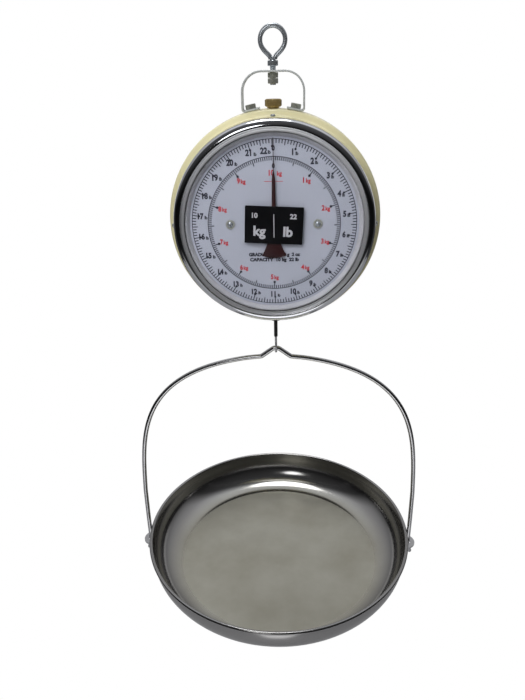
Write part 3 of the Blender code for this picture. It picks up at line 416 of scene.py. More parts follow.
def lathe(name, profile, place=UPRIGHT, sides=160, closed=True, rim=None):
    """Turns (radius, height) points about local Z. rim(angle, radius, height) may change the radius."""
    shape = bmesh.new()
    rings = []
    for k in range(sides):
        angle = 2 * math.pi * k / sides
        ring = []
        for radius, height in profile:
            r = rim(angle, radius, height) if rim else radius
            ring.append(shape.verts.new(place @ Vector((r * math.cos(angle), r * math.sin(angle), height))))
        rings.append(ring)
    count = len(profile)
    for k in range(sides):
        here, there = rings[k], rings[(k + 1) % sides]
        for i in range(count if closed else count - 1):
            j = (i + 1) % count
            shape.faces.new((here[i], here[j], there[j], there[i]))
    bmesh.ops.remove_doubles(shape, verts=shape.verts, dist=1e-7)
    bmesh.ops.dissolve_degenerate(shape, edges=shape.edges, dist=1e-8)
    return mesh_piece(name, shape)


def arc(radius, start, end, steps, centre=(0.0, 0.0)):
    turns = [math.radians(start + (end - start) * i / steps) for i in range(steps + 1)]
    return [(centre[0] + radius * math.cos(t), centre[1] + radius * math.sin(t)) for t in turns]


def plain_mesh(piece):
    """Replaces a curve, or an object with modifiers, by its finished mesh at the origin."""
    bpy.context.view_layer.update()
    graph = bpy.context.evaluated_depsgraph_get()
    mesh = bpy.data.meshes.new_from_object(piece.evaluated_get(graph))
    mesh.transform(piece.matrix_world)
    name = piece.name
    bpy.data.objects.remove(piece)
    shape = bmesh.new()
    shape.from_mesh(mesh)
    return mesh_piece(name, shape)


DOME_TURNS = (1.45, 1.1, 0.7, 0.35, 0.0)  # angles that draw a domed end, from its tip to the full wire


def wire(name, points, diameter, round_ends=True):
    """A round wire along a path, whose ends are domed."""
    curve = bpy.data.curves.new(name, "CURVE")
    curve.dimensions = "3D"
    curve.bevel_depth = diameter / 2
    curve.bevel_resolution = 6
    curve.use_fill_caps = True
    points = [Vector(point) for point in points]
    radii = [1.0] * len(points)
    if round_ends:
        ends = []
        for tip, neighbour in ((points[0], points[1]), (points[-1], points[-2])):
            inward = (neighbour - tip).normalized() * diameter / 2
            ends.append([tip + inward * (1 - math.sin(turn)) for turn in DOME_TURNS])
        shares = [math.cos(turn) for turn in DOME_TURNS]
        radii = shares + radii[1:-1] + shares[::-1]
        points = ends[0] + points[1:-1] + ends[1][::-1]
    spline = curve.splines.new("POLY")
    spline.points.add(len(points) - 1)
    for target, place, radius in zip(spline.points, points, radii):
        target.co = (*place, 1)
        target.radius = radius
    piece = bpy.data.objects.new(name, curve)
    bpy.context.scene.collection.objects.link(piece)
    return plain_mesh(piece)


def rounded(corners, radii, steps=10):
    """A path in space through the corners, whose inner corners are arcs of the given radii."""
    corners = [Vector(corner) for corner in corners]
    path = [corners[0]]
    for before, corner, after, radius in zip(corners, corners[1:], corners[2:], radii):
        coming = (corner - before).normalized()
        going = (after - corner).normalized()
        turn = coming.angle(going)
        start = corner - coming * radius * math.tan(turn / 2)
        axis = coming.cross(going).normalized()
        centre = start + axis.cross(coming) * radius
        for i in range(steps + 1):
            path.append(centre + Matrix.Rotation(turn * i / steps, 3, axis) @ (start - centre))
    path.append(corners[-1])
    return path


def bezier(start, leave, arrive, end, steps):
    points = []
    for i in range(steps + 1):
        t = i / steps
        s = 1 - t
        points.append(start * s**3 + leave * (3 * s * s * t) + arrive * (3 * s * t * t) + end * t**3)
    return points


def bezier2(start, leave, arrive, end, steps):
    flat = [Vector((x, y, 0)) for x, y in (start, leave, arrive, end)]
    return [(point.x, point.y) for point in bezier(*flat, steps)]


def tube(outer, inner, low, high):
    """The section of a tube, a washer or a disc with a hole, as (radius, height) points."""
    return [(outer, high), (outer, low), (inner, low), (inner, high)]


def hexagon(name, flats, low, high, bore=0.0, place=UPRIGHT, chamfer=(True, True)):
    """A hexagon bar end or nut: a round profile with chamfered ends, cut by six flats."""
    corner = flats / math.cos(math.pi / 6) / 2
    bevel = corner - flats / 2 * 0.97
    slope = bevel * 0.6
    outer = []
    outer += [(corner - bevel, high), (corner, high - slope)] if chamfer[1] else [(corner, high)]
    outer += [(corner, low + slope), (corner - bevel, low)] if chamfer[0] else [(corner, low)]
    inner = [(bore / 2, low), (bore / 2, high)] if bore else [(0, low), (0, high)]

    def flat(angle, radius, height):
        side = (angle + math.pi / 6) % (math.pi / 3) - math.pi / 6
        return min(radius, flats / 2 / math.cos(side))

    return lathe(name, outer + inner, place, 96, True, flat)


def around(angle, radius=0.0, y=0.0):
    """A place on the drum, clockwise from the top, with local +Z pointing out from the hub."""
    turn = Matrix.Rotation(angle, 4, "Y")
    out = HUB + turn @ Vector((0, 0, radius))
    return Matrix.Translation((out.x, y, out.z)) @ turn


print("helpers ready")

# %% [markdown]
# ## Drum and bezel
# The drum is one deep pressing in cream enamel: a straight lip for the bezel, a rounded shoulder, a
# wide band and a back with a shallow pressed step. The chrome bezel rolls over the lip and slopes
# in to the lens. Both are turned shapes, so a profile and the lathe give them exactly, with small
# radii where sheet metal bends.

# %% Drum
LIP_RADIUS = BEZEL_RADIUS + 0.6 * MM
LIP_FRONT = -DRUM_LOW.y
BACK = -DRUM_HIGH.y
WALL = 1.5 * MM


def drum_side(inset):
    """The drum's side from its front lip to its back, as (radius, distance to the front), moved in by inset."""
    radius = DRUM_RADIUS - inset
    back = BACK + inset
    corner = 11 * MM - inset * 0.5
    side = [(LIP_RADIUS - inset, LIP_FRONT), (LIP_RADIUS - inset, 15.5 * MM)]
    side += bezier2((LIP_RADIUS - inset, 15.5 * MM), (LIP_RADIUS - inset, 11.6 * MM),
                    (radius, 12.2 * MM), (radius, 7.9 * MM), 8)[1:]
    side += [(radius, back + corner)]
    side += arc(corner, 0, -90, 10, (radius - corner, back + corner))[1:]
    side += [(radius - 23 * MM, back), (radius - 25.5 * MM, back + 1.2 * MM)]
    return side


drum_profile = drum_side(0) + [(0, BACK + 1.2 * MM), (0, BACK + 1.2 * MM + WALL)] + drum_side(WALL)[::-1]
keep(lathe("drum", drum_profile, FACING, 192), CREAM, "housing", "cream_paint", "drum_housing")

# %% Bezel
FRONT = -BEZEL_LOW.y
SKIRT = BEZEL_RADIUS - 1.5 * MM
SHEET = 1.2 * MM
SIGHT = BEZEL_RADIUS - 11.8 * MM
LENS_FRONT = -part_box("lens")[0].y
ROLL_RADIUS = 7 * MM
roll_centre = (BEZEL_RADIUS - ROLL_RADIUS, FRONT - ROLL_RADIUS)
bezel_outer = [(SIGHT + 0.2 * MM, LENS_FRONT + 0.4 * MM), (SIGHT, LENS_FRONT + 0.9 * MM)]
bezel_outer += [(SIGHT + 0.5 * MM, LENS_FRONT + 1.3 * MM)]
bezel_outer += bezier2((SIGHT + 0.5 * MM, LENS_FRONT + 1.3 * MM), (SIGHT + 4 * MM, LENS_FRONT + 1.6 * MM),
                       (BEZEL_RADIUS - ROLL_RADIUS - 2 * MM, FRONT), (BEZEL_RADIUS - ROLL_RADIUS, FRONT), 8)[1:]
bezel_outer += arc(ROLL_RADIUS, 90, 0, 16, roll_centre)[1:]
bezel_outer += [(BEZEL_RADIUS, LIP_FRONT + 0.9 * MM), (BEZEL_RADIUS - 0.5 * MM, LIP_FRONT + 0.35 * MM)]
bezel_outer += [(SKIRT, LIP_FRONT + 0.35 * MM), (SKIRT, 13 * MM), (SKIRT - SHEET, 13 * MM)]
bezel_inner = [(SKIRT - SHEET, LIP_FRONT + 1.6 * MM), (BEZEL_RADIUS - SHEET, LIP_FRONT + 2 * MM)]
bezel_inner += arc(ROLL_RADIUS - SHEET, 0, 90, 10, roll_centre)
keep(lathe("bezel", bezel_outer + bezel_inner, FACING, 224), BEZEL_CHROME, "housing", "chrome", "bezel_ring")

# %% [markdown]
# ## Lens, gasket and surround
# The lens is a flat disc of glass with a ground edge. A dark gasket holds it, and behind it a
# sloping grey ring hides the gap between the lens and the dial.

# %% Lens, gasket and surround
for piece_name, node_name, material, slot in (
    ("lens_disc", "lens", GLASS, "glass"), ("gasket", "lens_gasket", RUBBER, "rubber"),
):
    low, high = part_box(node_name)
    edge = (high.x - low.x) / 2
    hole = 0 if node_name == "lens" else SIGHT + 0.6 * MM
    section = tube(edge, hole, -high.y, -low.y)
    section = soften(section, 0.3 * MM) if hole else soften(section[:2], 0.3 * MM, closed=False) + section[2:]
    keep(lathe(piece_name, section, FACING, 192), material, "housing", slot, node_name)

ring_low, ring_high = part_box("dial_surround")
ring_edge = (ring_high.x - ring_low.x) / 2
flange = -ring_high.y + 2.4 * MM
surround = [
    (SIGHT - 1.8 * MM, -ring_low.y), (SIGHT - 0.5 * MM, -ring_low.y), (SIGHT - 0.5 * MM, flange),
    (ring_edge, flange), (ring_edge, flange - 1.1 * MM), (SIGHT - 2.6 * MM, flange - 1.1 * MM),
    (SIGHT - 3.6 * MM, -ring_high.y), (SIGHT - 4.8 * MM, -ring_high.y),
]
surround_ring = lathe("surround", soften(surround, 0.3 * MM), FACING, 192)
keep(surround_ring, RIM_GREY, "housing", "dial_white", "dial_surround")

# %% [markdown]
# ## Dial
# The dial is a thin enamelled disc, printed with two scales: pounds outside, kilograms inside. A
# printed mark repeats by a rule, so Geometry Nodes makes every tick: points are set round a circle
# a fixed angle apart, a tick is placed on each, and the result is made a plain mesh. One tree
# serves all the rings, with other numbers in its inputs.

# %% Dial plate
HUB_HOLE = 6 * MM
plate_low, plate_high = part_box("dial_plate")
dial_edge = (plate_high.x - plate_low.x) / 2
dial_profile = tube(dial_edge, HUB_HOLE, -plate_high.y, -plate_low.y)
keep(lathe("dial", soften(dial_profile, 0.2 * MM), FACING, 192), DIAL, "housing", "dial_white", "dial_plate")

# %% Tick tree
PRINT_BACK = DIAL_FACE - 0.015 * MM
PRINT_FRONT = DIAL_FACE - 0.07 * MM
RING_INPUTS = [
    ("Count", "Int", 4), ("Step", "Float", 0.1), ("Start", "Float", 0.0), ("Radius", "Float", 0.08),
    ("Long", "Float", 0.003), ("Wide", "Float", 0.0004), ("Thick", "Float", 0.00005), ("Depth", "Float", 0.0),
    ("Height", "Float", 0.0), ("Material", "Material", None),
]


def end_tree(tree, given, result, copies):
    """Ends a tree with real geometry instead of instances, in one material."""
    whole = node(tree, "GeometryNodeRealizeInstances", Geometry=copies)
    painted = node(tree, "GeometryNodeSetMaterial", Geometry=whole.outputs[0], Material=given["Material"])
    feed(tree, result["Geometry"], painted.outputs[0])
    return tree


def ring_tree(name, kind):
    """Marks round the hub: kind is tick, dot or given, which repeats the object's own mesh."""
    own = [("Geometry", "Geometry", None)] if kind == "given" else []
    tree, given, result = new_tree("GeometryNodeTree", name, own + RING_INPUTS, [("Geometry", "Geometry")])
    points = node(tree, "GeometryNodePoints", Count=given["Count"])
    index = node(tree, "GeometryNodeInputIndex").outputs[0]
    angle = maths(tree, "ADD", maths(tree, "MULTIPLY", index, given["Step"]), given["Start"])
    reach = maths(tree, "SUBTRACT", given["Radius"], maths(tree, "MULTIPLY", given["Long"], 0.5))
    x = maths(tree, "MULTIPLY", maths(tree, "SINE", angle), reach)
    up = maths(tree, "MULTIPLY", maths(tree, "COSINE", angle), reach)
    spot = vector(tree, x, given["Depth"], maths(tree, "ADD", up, given["Height"]))
    placed = node(tree, "GeometryNodeSetPosition", Geometry=points.outputs[0], Position=spot)
    if kind == "tick":
        size = vector(tree, given["Wide"], given["Thick"], given["Long"])
        source = node(tree, "GeometryNodeMeshCube", Size=size).outputs["Mesh"]
    elif kind == "dot":
        disc = node(tree, "GeometryNodeMeshCylinder", Vertices=14, Radius=given["Wide"], Depth=given["Thick"])
        laid = node(tree, "GeometryNodeTransform", Geometry=disc.outputs["Mesh"], Rotation=(math.pi / 2, 0, 0))
        source = laid.outputs[0]
    else:
        source = given["Geometry"]
    copies = node(tree, "GeometryNodeInstanceOnPoints", Points=placed.outputs[0], Instance=source)
    feed(tree, copies.inputs["Rotation"], vector(tree, 0.0, angle, 0.0))
    return end_tree(tree, given, result, copies.outputs[0])


def run_tree(name, tree, start=None, **values):
    """Runs a tree once on an empty or given object and returns the plain mesh it made."""
    piece = start or bpy.data.objects.new(name, bpy.data.meshes.new(name))
    if not start:
        bpy.context.scene.collection.objects.link(piece)
    step = piece.modifiers.new("marks", "NODES")
    step.node_group = tree
    for item in tree.interface.items_tree:
        if item.item_type == "SOCKET" and item.in_out == "INPUT" and item.name in values:
            step[item.identifier] = values[item.name]
    made = plain_mesh(piece)
    made.name = name
    return made


TICKS = ring_tree("ring of ticks", "tick")
DOTS = ring_tree("ring of dots", "dot")
COPIES = ring_tree("ring of copies", "given")
print("trees:", TICKS.name, "/", DOTS.name, "/", COPIES.name)

# %% Dial marks
POUNDS = 22.046  # pounds in one turn of the pointer
KILOS = 10
OUTER_SCALE = 84.5 * MM
INNER_SCALE = 68 * MM
LINE = 0.7 * MM  # width of the printed circles
THICK = PRINT_BACK - PRINT_FRONT
DEPTH = (PRINT_BACK + PRINT_FRONT) / 2
POUND_STEP = 2 * math.pi / POUNDS
KILO_STEP = 2 * math.pi / KILOS


def marks(name, tree, count, step, radius, long, wide, start=0.0, ink=INK):
    made = run_tree(
        name, tree, Count=count, Step=step, Start=start, Radius=radius, Long=long, Wide=wide, Thick=THICK,
        Depth=DEPTH, Height=HUB.z, Material=ink,
    )
    return keep(made, ink, "housing", "black_plastic" if ink == INK else "pointer_red")


marks("pound_eighths", TICKS, 177, POUND_STEP / 8, OUTER_SCALE, 3.6 * MM, 0.95 * MM)
marks("pound_halves", TICKS, 22, POUND_STEP, OUTER_SCALE, 5.2 * MM, 0.85 * MM, POUND_STEP / 2)
marks("pounds", TICKS, 23, POUND_STEP, OUTER_SCALE, 7 * MM, 0.9 * MM)
marks("pound_dots", DOTS, 22, POUND_STEP, OUTER_SCALE - 6.6 * MM, 0.001 * MM, 1.15 * MM, POUND_STEP)
marks("kilo_twentieths", TICKS, 200, KILO_STEP / 20, INNER_SCALE, 3.4 * MM, 0.95 * MM)
marks("kilo_halves", TICKS, 10, KILO_STEP, INNER_SCALE, 6 * MM, 1.0 * MM, KILO_STEP / 2)
marks("kilos", TICKS, 10, KILO_STEP, INNER_SCALE, 7.2 * MM, 1.0 * MM)
marks("kilo_dots", DOTS, 9, KILO_STEP, INNER_SCALE - 7 * MM, 0.001 * MM, 1.35 * MM, KILO_STEP)
for line_name, line_radius in (("outer_line", OUTER_SCALE), ("inner_line", INNER_SCALE)):
    section = tube(line_radius + LINE, line_radius, -PRINT_BACK, -PRINT_FRONT)
    keep(lathe(line_name, section, FACING, 192), INK, "housing", "black_plastic")

# %% [markdown]
# ## Lettering
# The numbers stand upright all the way round. Each is a text object turned to face the reader, made
# a mesh and added to one piece for each ink, so the dial needs only a handful of objects.

# %% Lettering


def lettering(name, items, face, thick, material, body, slot, turn=UPRIGHT, weight=0.05):
    """items are (words, x, z, height, squeeze), each centred on its spot about the hub."""
    whole = bmesh.new()
    for words, x, z, height, squeeze in items:
        curve = bpy.data.curves.new("words", "FONT")
        curve.body = words
        curve.size = height * 1.4
        curve.align_x, curve.align_y = "CENTER", "CENTER"
        curve.extrude = thick / 2
        curve.offset = height * weight
        curve.resolution_u = 3
        text = bpy.data.objects.new("words", curve)
        bpy.context.scene.collection.objects.link(text)
        bpy.context.view_layer.update()
        mesh = bpy.data.meshes.new_from_object(text.evaluated_get(bpy.context.evaluated_depsgraph_get()))
        facing = Matrix.Rotation(math.pi / 2, 4, "X") @ Matrix.Diagonal((squeeze, 1, 1, 1))
        place = Matrix.Translation((HUB.x, face, HUB.z)) @ turn @ Matrix.Translation((x, 0, z))
        mesh.transform(place @ facing)
        whole.from_mesh(mesh)
        bpy.data.objects.remove(text)
    return keep(mesh_piece(name, whole), material, body, slot)


NARROW, UNIT_NARROW = 0.85, 0.9  # the dial's letters are narrower than the font's


def round_label(number, unit, step, radius, height, small):
    """A number and its small unit, set side by side about one spot on the ring."""
    angle = number * step
    x, z = radius * math.sin(angle), radius * math.cos(angle)
    words = str(number)
    wide = 0.66 * height * len(words)
    unit_wide = 0.62 * small * len(unit)
    left = x - (wide + unit_wide) / 2
    return [
        (words, left + wide / 2, z, height, NARROW),
        (unit, left + wide + unit_wide / 2 + 0.3 * MM, z - (height - small) / 2, small, UNIT_NARROW),
    ]


black_items, red_items = [], []
for number in range(1, 22):
    black_items += round_label(number, "lb", POUND_STEP, 75 * MM, 5.8 * MM, 3.2 * MM)
black_items += [("22", -9.4 * MM, 73.4 * MM, 5.8 * MM, NARROW)]
black_items += [("lb", -3.9 * MM, 72.3 * MM, 3.2 * MM, UNIT_NARROW)]
for number in range(1, 10):
    red_items += round_label(number, "kg", KILO_STEP, 55.5 * MM, 5.2 * MM, 4.2 * MM)
red_items += [("10", -2.6 * MM, 52.4 * MM, 5.4 * MM, NARROW)]
red_items += [("kg", 5.8 * MM, 51.8 * MM, 4.3 * MM, UNIT_NARROW)]
black_items += [("0", 0, 76 * MM, 5 * MM, NARROW), ("0", 0, 59.2 * MM, 4.6 * MM, NARROW)]
capacity_items = [
    ("GRADUATION  50 g  2 oz", 0, -30.9 * MM, 3.5 * MM, 0.98),
    ("CAPACITY  10 kg  22 lb", 0, -36.4 * MM, 3.5 * MM, 1.05),
]
lettering("dial_black_words", black_items, DEPTH, THICK, INK, "housing", "black_plastic", weight=0.07)
lettering("dial_capacity_words", capacity_items, DEPTH, THICK, INK, "housing", "black_plastic", weight=0.09)
lettering("dial_red_words", red_items, DEPTH, THICK, RED_INK, "housing", "pointer_red")
marks("dial_red_line", TICKS, 1, 0, 44.6 * MM, 0.5 * MM, 19 * MM, ink=RED_INK)

# %% [markdown]
# ## Name plate, pointer and dial screws
# The pointer is stamped from sheet: a hair-thin tip, a tapering needle and a broad tail that
# balances it. The black plate sits behind the lens in front of the pointer's middle and carries
# only the two units.

# %% Flat pieces


def flat_piece(name, loop, low_y, high_y, turn=UPRIGHT, bevel=0.1 * MM, centre=None):
    """A sheet piece between two depths, with its outline in (x, z) about a centre and its edges eased."""
    centre = centre or HUB
    shape = bmesh.new()
    corners = [shape.verts.new((x, low_y, z)) for x, z in loop]
    face = shape.faces.new(corners)
    moved = bmesh.ops.extrude_face_region(shape, geom=[face])["geom"]
    new = [item for item in moved if isinstance(item, bmesh.types.BMVert)]
    bmesh.ops.translate(shape, verts=new, vec=(0, high_y - low_y, 0))
    bmesh.ops.recalc_face_normals(shape, faces=shape.faces)
    rims = [edge for edge in shape.edges if abs(edge.verts[0].co.y - edge.verts[1].co.y) < 1e-7]
    bmesh.ops.bevel(shape, geom=rims, offset=bevel, segments=2, affect="EDGES", profile=0.5)
    shape.transform(Matrix.Translation((centre.x, 0, centre.z)) @ turn)
    return mesh_piece(name, shape)


pointer_low, pointer_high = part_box("pointer")
TAIL = HUB.z - pointer_low.z
half_tail = math.degrees(math.asin(12.9 * MM / TAIL))
half = [(0.24 * MM, pointer_high.z - HUB.z), (0.34 * MM, 56.5 * MM)]
half += [(1.6 * MM, 47.5 * MM), (2.3 * MM, 7.2 * MM)]
half += arc(6.5 * MM, 60, -60, 14)
half += [(2.6 * MM, -7.6 * MM), (10.3 * MM, -26.3 * MM)]
half += arc(TAIL, -90 + half_tail, -90 + half_tail / 12, 10)
outline = half + [(-x, z) for x, z in reversed(half)]
needle = flat_piece("needle", outline, pointer_low.y + 0.05 * MM, pointer_high.y, bevel=0.06 * MM)
keep(needle, POINTER, "pointer", "pointer_red", "pointer")

plate_low, plate_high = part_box("name_plate")
PLATE_TURN = Matrix.Rotation(math.radians(2.6), 4, "Y")
plate_centre = middle("name_plate")
half_wide, half_tall = 30 * MM, 19.25 * MM
plate_loop = [(half_wide, -half_tall), (half_wide, half_tall)]
plate_loop += [(-half_wide, half_tall), (-half_wide, -half_tall)]
plate_loop = soften(plate_loop, 1 * MM)
plate = flat_piece("plate", plate_loop, plate_low.y, plate_high.y, PLATE_TURN, 0.15 * MM, plate_centre)
keep(plate, PLATE, "housing", "black_plastic", "name_plate")
words = [("kg", -15 * MM, -5.6 * MM, 10 * MM, 1.0), ("lb", 14.5 * MM, -5.6 * MM, 10 * MM, 1.0)]
words += [("10", -20.5 * MM, 10.5 * MM, 5 * MM, 1.0), ("22", 19.5 * MM, 10.5 * MM, 5 * MM, 1.0)]
plate_face = plate_low.y - 0.03 * MM
lettering("plate_words", words, plate_face, 0.05 * MM, SILVER_INK, "housing", "dial_white", PLATE_TURN)
rule = run_tree(
    "plate_rule", TICKS, Count=1, Step=0.0, Start=0.0, Radius=12.5 * MM, Long=24 * MM, Wide=0.8 * MM,
    Thick=0.05 * MM, Depth=plate_face, Height=HUB.z, Material=SILVER_INK,
)
keep(rule, SILVER_INK, "housing", "dial_white")

# %% Dial screws
for side in ("right", "left"):
    spot = middle("dial_screw_" + side)
    low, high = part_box("dial_screw_" + side)
    place = Matrix.Translation((spot.x, 0, spot.z)) @ Matrix.Rotation(math.pi / 2, 4, "X")
    head_low = -DIAL_FACE + 0.1 * MM
    top = -low.y
    washer = tube(4.8 * MM, 1.2 * MM, head_low, head_low + 0.7 * MM)
    keep(lathe("dial_washer_" + side, soften(washer, 0.2 * MM), place, 64), ZINC, "housing", "zinc")
    recess = top - 0.5 * MM
    dome = [(0, top), (0.9 * MM, top), (1.0 * MM, recess), (1.2 * MM, recess), (1.3 * MM, top)]
    dome += arc(1.4 * MM, 70, 0, 6, (1.5 * MM, head_low + 0.2 * MM))[1:]
    dome += [(2.9 * MM, head_low + 0.7 * MM), (1.6 * MM, head_low + 0.7 * MM)]
    dome += [(1.6 * MM, -high.y), (0, -high.y)]
    screw = lathe("dial_screw_head_" + side, dome, place, 64, closed=False)
    keep(screw, EYE_ZINC, "housing", "zinc", "dial_screw_" + side)

# %% [markdown]
# ## Bezel screws
# Four pan-head screws hold the bezel through the drum lip. One head is turned on the lathe, and the
# same ring tree that set the dial's ticks copies it round the drum.

# %% Bezel screws
top_low, top_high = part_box("bezel_screw_top")
screw_y = (top_low.y + top_high.y) / 2
head_top = top_high.z - HUB.z
shank_low = top_low.z - HUB.z
rest = head_top - 1.9 * MM
head = [(0, head_top - 0.7 * MM), (0.5 * MM, head_top - 0.7 * MM), (0.75 * MM, head_top - 0.02 * MM)]
head += arc(1.6 * MM, 78, 0, 8, (1.0 * MM, rest + 0.3 * MM))
head += [(2.6 * MM, rest + 0.02 * MM), (1.4 * MM, rest), (1.4 * MM, shank_low), (0, shank_low)]
one = lathe("bezel_screws", head, UPRIGHT, 48, closed=False)
screws = run_tree(
    "bezel_screws", COPIES, one, Count=4, Step=math.pi / 2, Start=0.0, Radius=0.0, Long=0.0,
    Wide=0.0, Thick=0.0, Depth=screw_y, Height=HUB.z, Material=EYE_ZINC,
)
bezel_nodes = ["bezel_screw_" + clock for clock in ("top", "right", "bottom", "left")]
keep(screws, EYE_ZINC, "housing", "zinc", *bezel_nodes)

# %% [markdown]
# ## Eye bolt and nuts
# The eye is bent from the same rod as its threaded shank. The loop is a wire along an arc that
# draws in to the neck, and the thread is a lathe shape whose radius follows a helix, so it catches
# the light as a real thread does.

# %% Eye bolt
EYE_WIRE = 4.5 * MM
NUT_FLATS = 10 * MM  # across the flats of an M6 nut or bolt
eye_low, eye_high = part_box("eye_bolt")
eye_middle = (eye_high.x - eye_low.x - EYE_WIRE) / 2
eye_centre = eye_high.z - EYE_WIRE / 2 - eye_middle
neck_z = eye_centre - eye_middle - 4.4 * MM
loop = [Vector((x, 0, z)) for x, z in arc(eye_middle, -38, 218, 48, (0, eye_centre))]
heading = (loop[0] - loop[1]).normalized()
neck = Vector((EYE_WIRE / 2 - 0.15 * MM, 0, neck_z - 0.5 * MM))
down = bezier(loop[0], loop[0] + heading * 6 * MM, neck + Vector((0, 0, 4 * MM)), neck, 10)[1:]
eye_path = down[::-1] + loop + [Vector((-point.x, 0, point.z)) for point in down]
keep(wire("eye_loop", eye_path, EYE_WIRE, round_ends=False), EYE_ZINC, "suspension", "zinc", "eye_bolt")


def threaded(name, diameter, low, high, pitch=1 * MM, place=UPRIGHT):
    """A threaded rod: the radius falls and rises along a helix, and fades out at both ends."""
    steps = max(4, int((high - low) / pitch * 6))
    heights = [high - (high - low) * i / steps for i in range(steps + 1)]
    profile = [(0, high)] + [(diameter / 2, z) for z in heights] + [(0, low)]

    def groove(angle, radius, height):
        if radius == 0:
            return 0
        phase = (height / pitch + angle / 2 / math.pi) % 1
        fade = min(1, (high - height) / pitch, (height - low) / pitch)
        return radius - 0.32 * pitch * abs(2 * phase - 1) * fade

    return lathe(name, profile, place, 48, False, groove)


keep(threaded("eye_thread", 5.9 * MM, eye_low.z, neck_z + 1 * MM), EYE_ZINC, "suspension", "zinc")
for nut in ("jam_nut", "retaining_nut", "lock_nut"):
    low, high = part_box(nut)
    made = hexagon(nut + "_cut", NUT_FLATS, low.z, high.z, 6 * MM)
    keep(made, EYE_ZINC if nut == "jam_nut" else ZINC, "suspension", "zinc", nut)

# %% [markdown]
# ## Strap and its bolts
# The strap is flat strip bent in one plane, with rolled edges. Its section, a rounded rectangle, is
# drawn along the path, which keeps the thickness even round the bends.

# %% Strap
BOLT_ANGLE = math.asin(21.6 * MM / DRUM_RADIUS)
strap_low, strap_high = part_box("hanging_strap")
STRAP_SHEET = 1.8 * MM
side_x = strap_high.x - STRAP_SHEET / 2
foot = around(BOLT_ANGLE, DRUM_RADIUS + 0.3 * MM + STRAP_SHEET / 2).translation
along = Vector((math.cos(BOLT_ANGLE), 0, -math.sin(BOLT_ANGLE)))
heel = foot + along * (side_x - foot.x) / along.x
right_side = [foot - along * 8.5 * MM, heel, Vector((side_x, 0, strap_high.z - STRAP_SHEET / 2))]
left_side = [Vector((-point.x, 0, point.z)) for point in reversed(right_side)]
strap_path = rounded(right_side + left_side, (2.2 * MM, 18.5 * MM, 18.5 * MM, 2.2 * MM), 14)


def sweep_strip(name, path, width, thickness):
    """A strip with eased edges: its section is carried along a path that lies in the XZ plane."""
    half_width, half_sheet = width / 2, thickness / 2
    corners = [(half_width, -half_sheet), (half_width, half_sheet)]
    corners += [(-half_width, half_sheet), (-half_width, -half_sheet)]
    section = soften(corners, 0.6 * MM)
    shape = bmesh.new()
    rings = []
    for i, point in enumerate(path):
        before, after = path[max(i - 1, 0)], path[min(i + 1, len(path) - 1)]
        direction = (after - before).normalized()
        across = Vector((-direction.z, 0, direction.x))
        rings.append([shape.verts.new(point + Vector((0, y, 0)) + across * t) for y, t in section])
    count = len(section)
    for here, there in zip(rings, rings[1:]):
        for i in range(count):
            j = (i + 1) % count
            shape.faces.new((here[i], here[j], there[j], there[i]))
    shape.faces.new(rings[0])
    shape.faces.new(rings[-1][::-1])
    return mesh_piece(name, shape, 40)


strap = sweep_strip("strap", strap_path, strap_high.y - strap_low.y, STRAP_SHEET)
keep(strap, STRAP, "housing", "strap_paint", "hanging_strap")

# %% Strap bolts
for side_name, side in (("right", 1), ("left", -1)):
    place = around(side * BOLT_ANGLE)
    seat = DRUM_RADIUS + STRAP_SHEET + 0.4 * MM
    made = hexagon("strap_bolt_head_" + side_name, NUT_FLATS, seat, seat + 4.2 * MM, 0, place, (False, True))
    keep(made, ZINC, "housing", "zinc", "strap_bolt_" + side_name)

# %% [markdown]
# ## Zero knob
# The brass knob turns in a threaded collar on top of the drum, and raises or lowers the springs
# inside. Its straight knurl is a ring of narrow ridges, set round the head by a small tree of its
# own.

# %% Zero knob
knob_low, knob_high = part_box("zero_knob")
KNOB_HEIGHT, COLLAR_HEIGHT = 7.2 * MM, 0.9 * MM
KNOB = (knob_high.x - knob_low.x) / 2
knob_base = knob_high.z - KNOB_HEIGHT
body_radius = KNOB - 0.35 * MM
knob = [(0, knob_high.z), (body_radius - 1 * MM, knob_high.z), (body_radius, knob_high.z - 0.8 * MM)]
knob += [(body_radius, knob_base + 0.8 * MM), (body_radius - 0.8 * MM, knob_base), (2.6 * MM, knob_base)]
knob += [(2.6 * MM, knob_low.z), (0, knob_low.z)]
head = lathe("knob_head", soften(knob, 0.3 * MM, closed=False), UPRIGHT, 96, closed=False)
keep(head, BRASS, "zero_knob", "brass", "zero_knob")


def ridge_tree():
    wanted = ("Count", "Radius", "Long", "Wide", "Height", "Material")
    inputs = [row for row in RING_INPUTS if row[0] in wanted]
    tree, given, result = new_tree("GeometryNodeTree", "ring of ridges", inputs, [("Geometry", "Geometry")])
    circle = node(tree, "GeometryNodeMeshCircle", Vertices=given["Count"], Radius=given["Radius"])
    ridge = node(tree, "GeometryNodeMeshCylinder", Vertices=6, Radius=given["Wide"], Depth=given["Long"])
    copies = node(tree, "GeometryNodeInstanceOnPoints", Points=circle.outputs[0])
    feed(tree, copies.inputs["Instance"], ridge.outputs["Mesh"])
    raised = node(tree, "GeometryNodeTransform", Geometry=copies.outputs[0])
    feed(tree, raised.inputs["Translation"], vector(tree, 0.0, 0.0, given["Height"]))
    return end_tree(tree, given, result, raised.outputs[0])


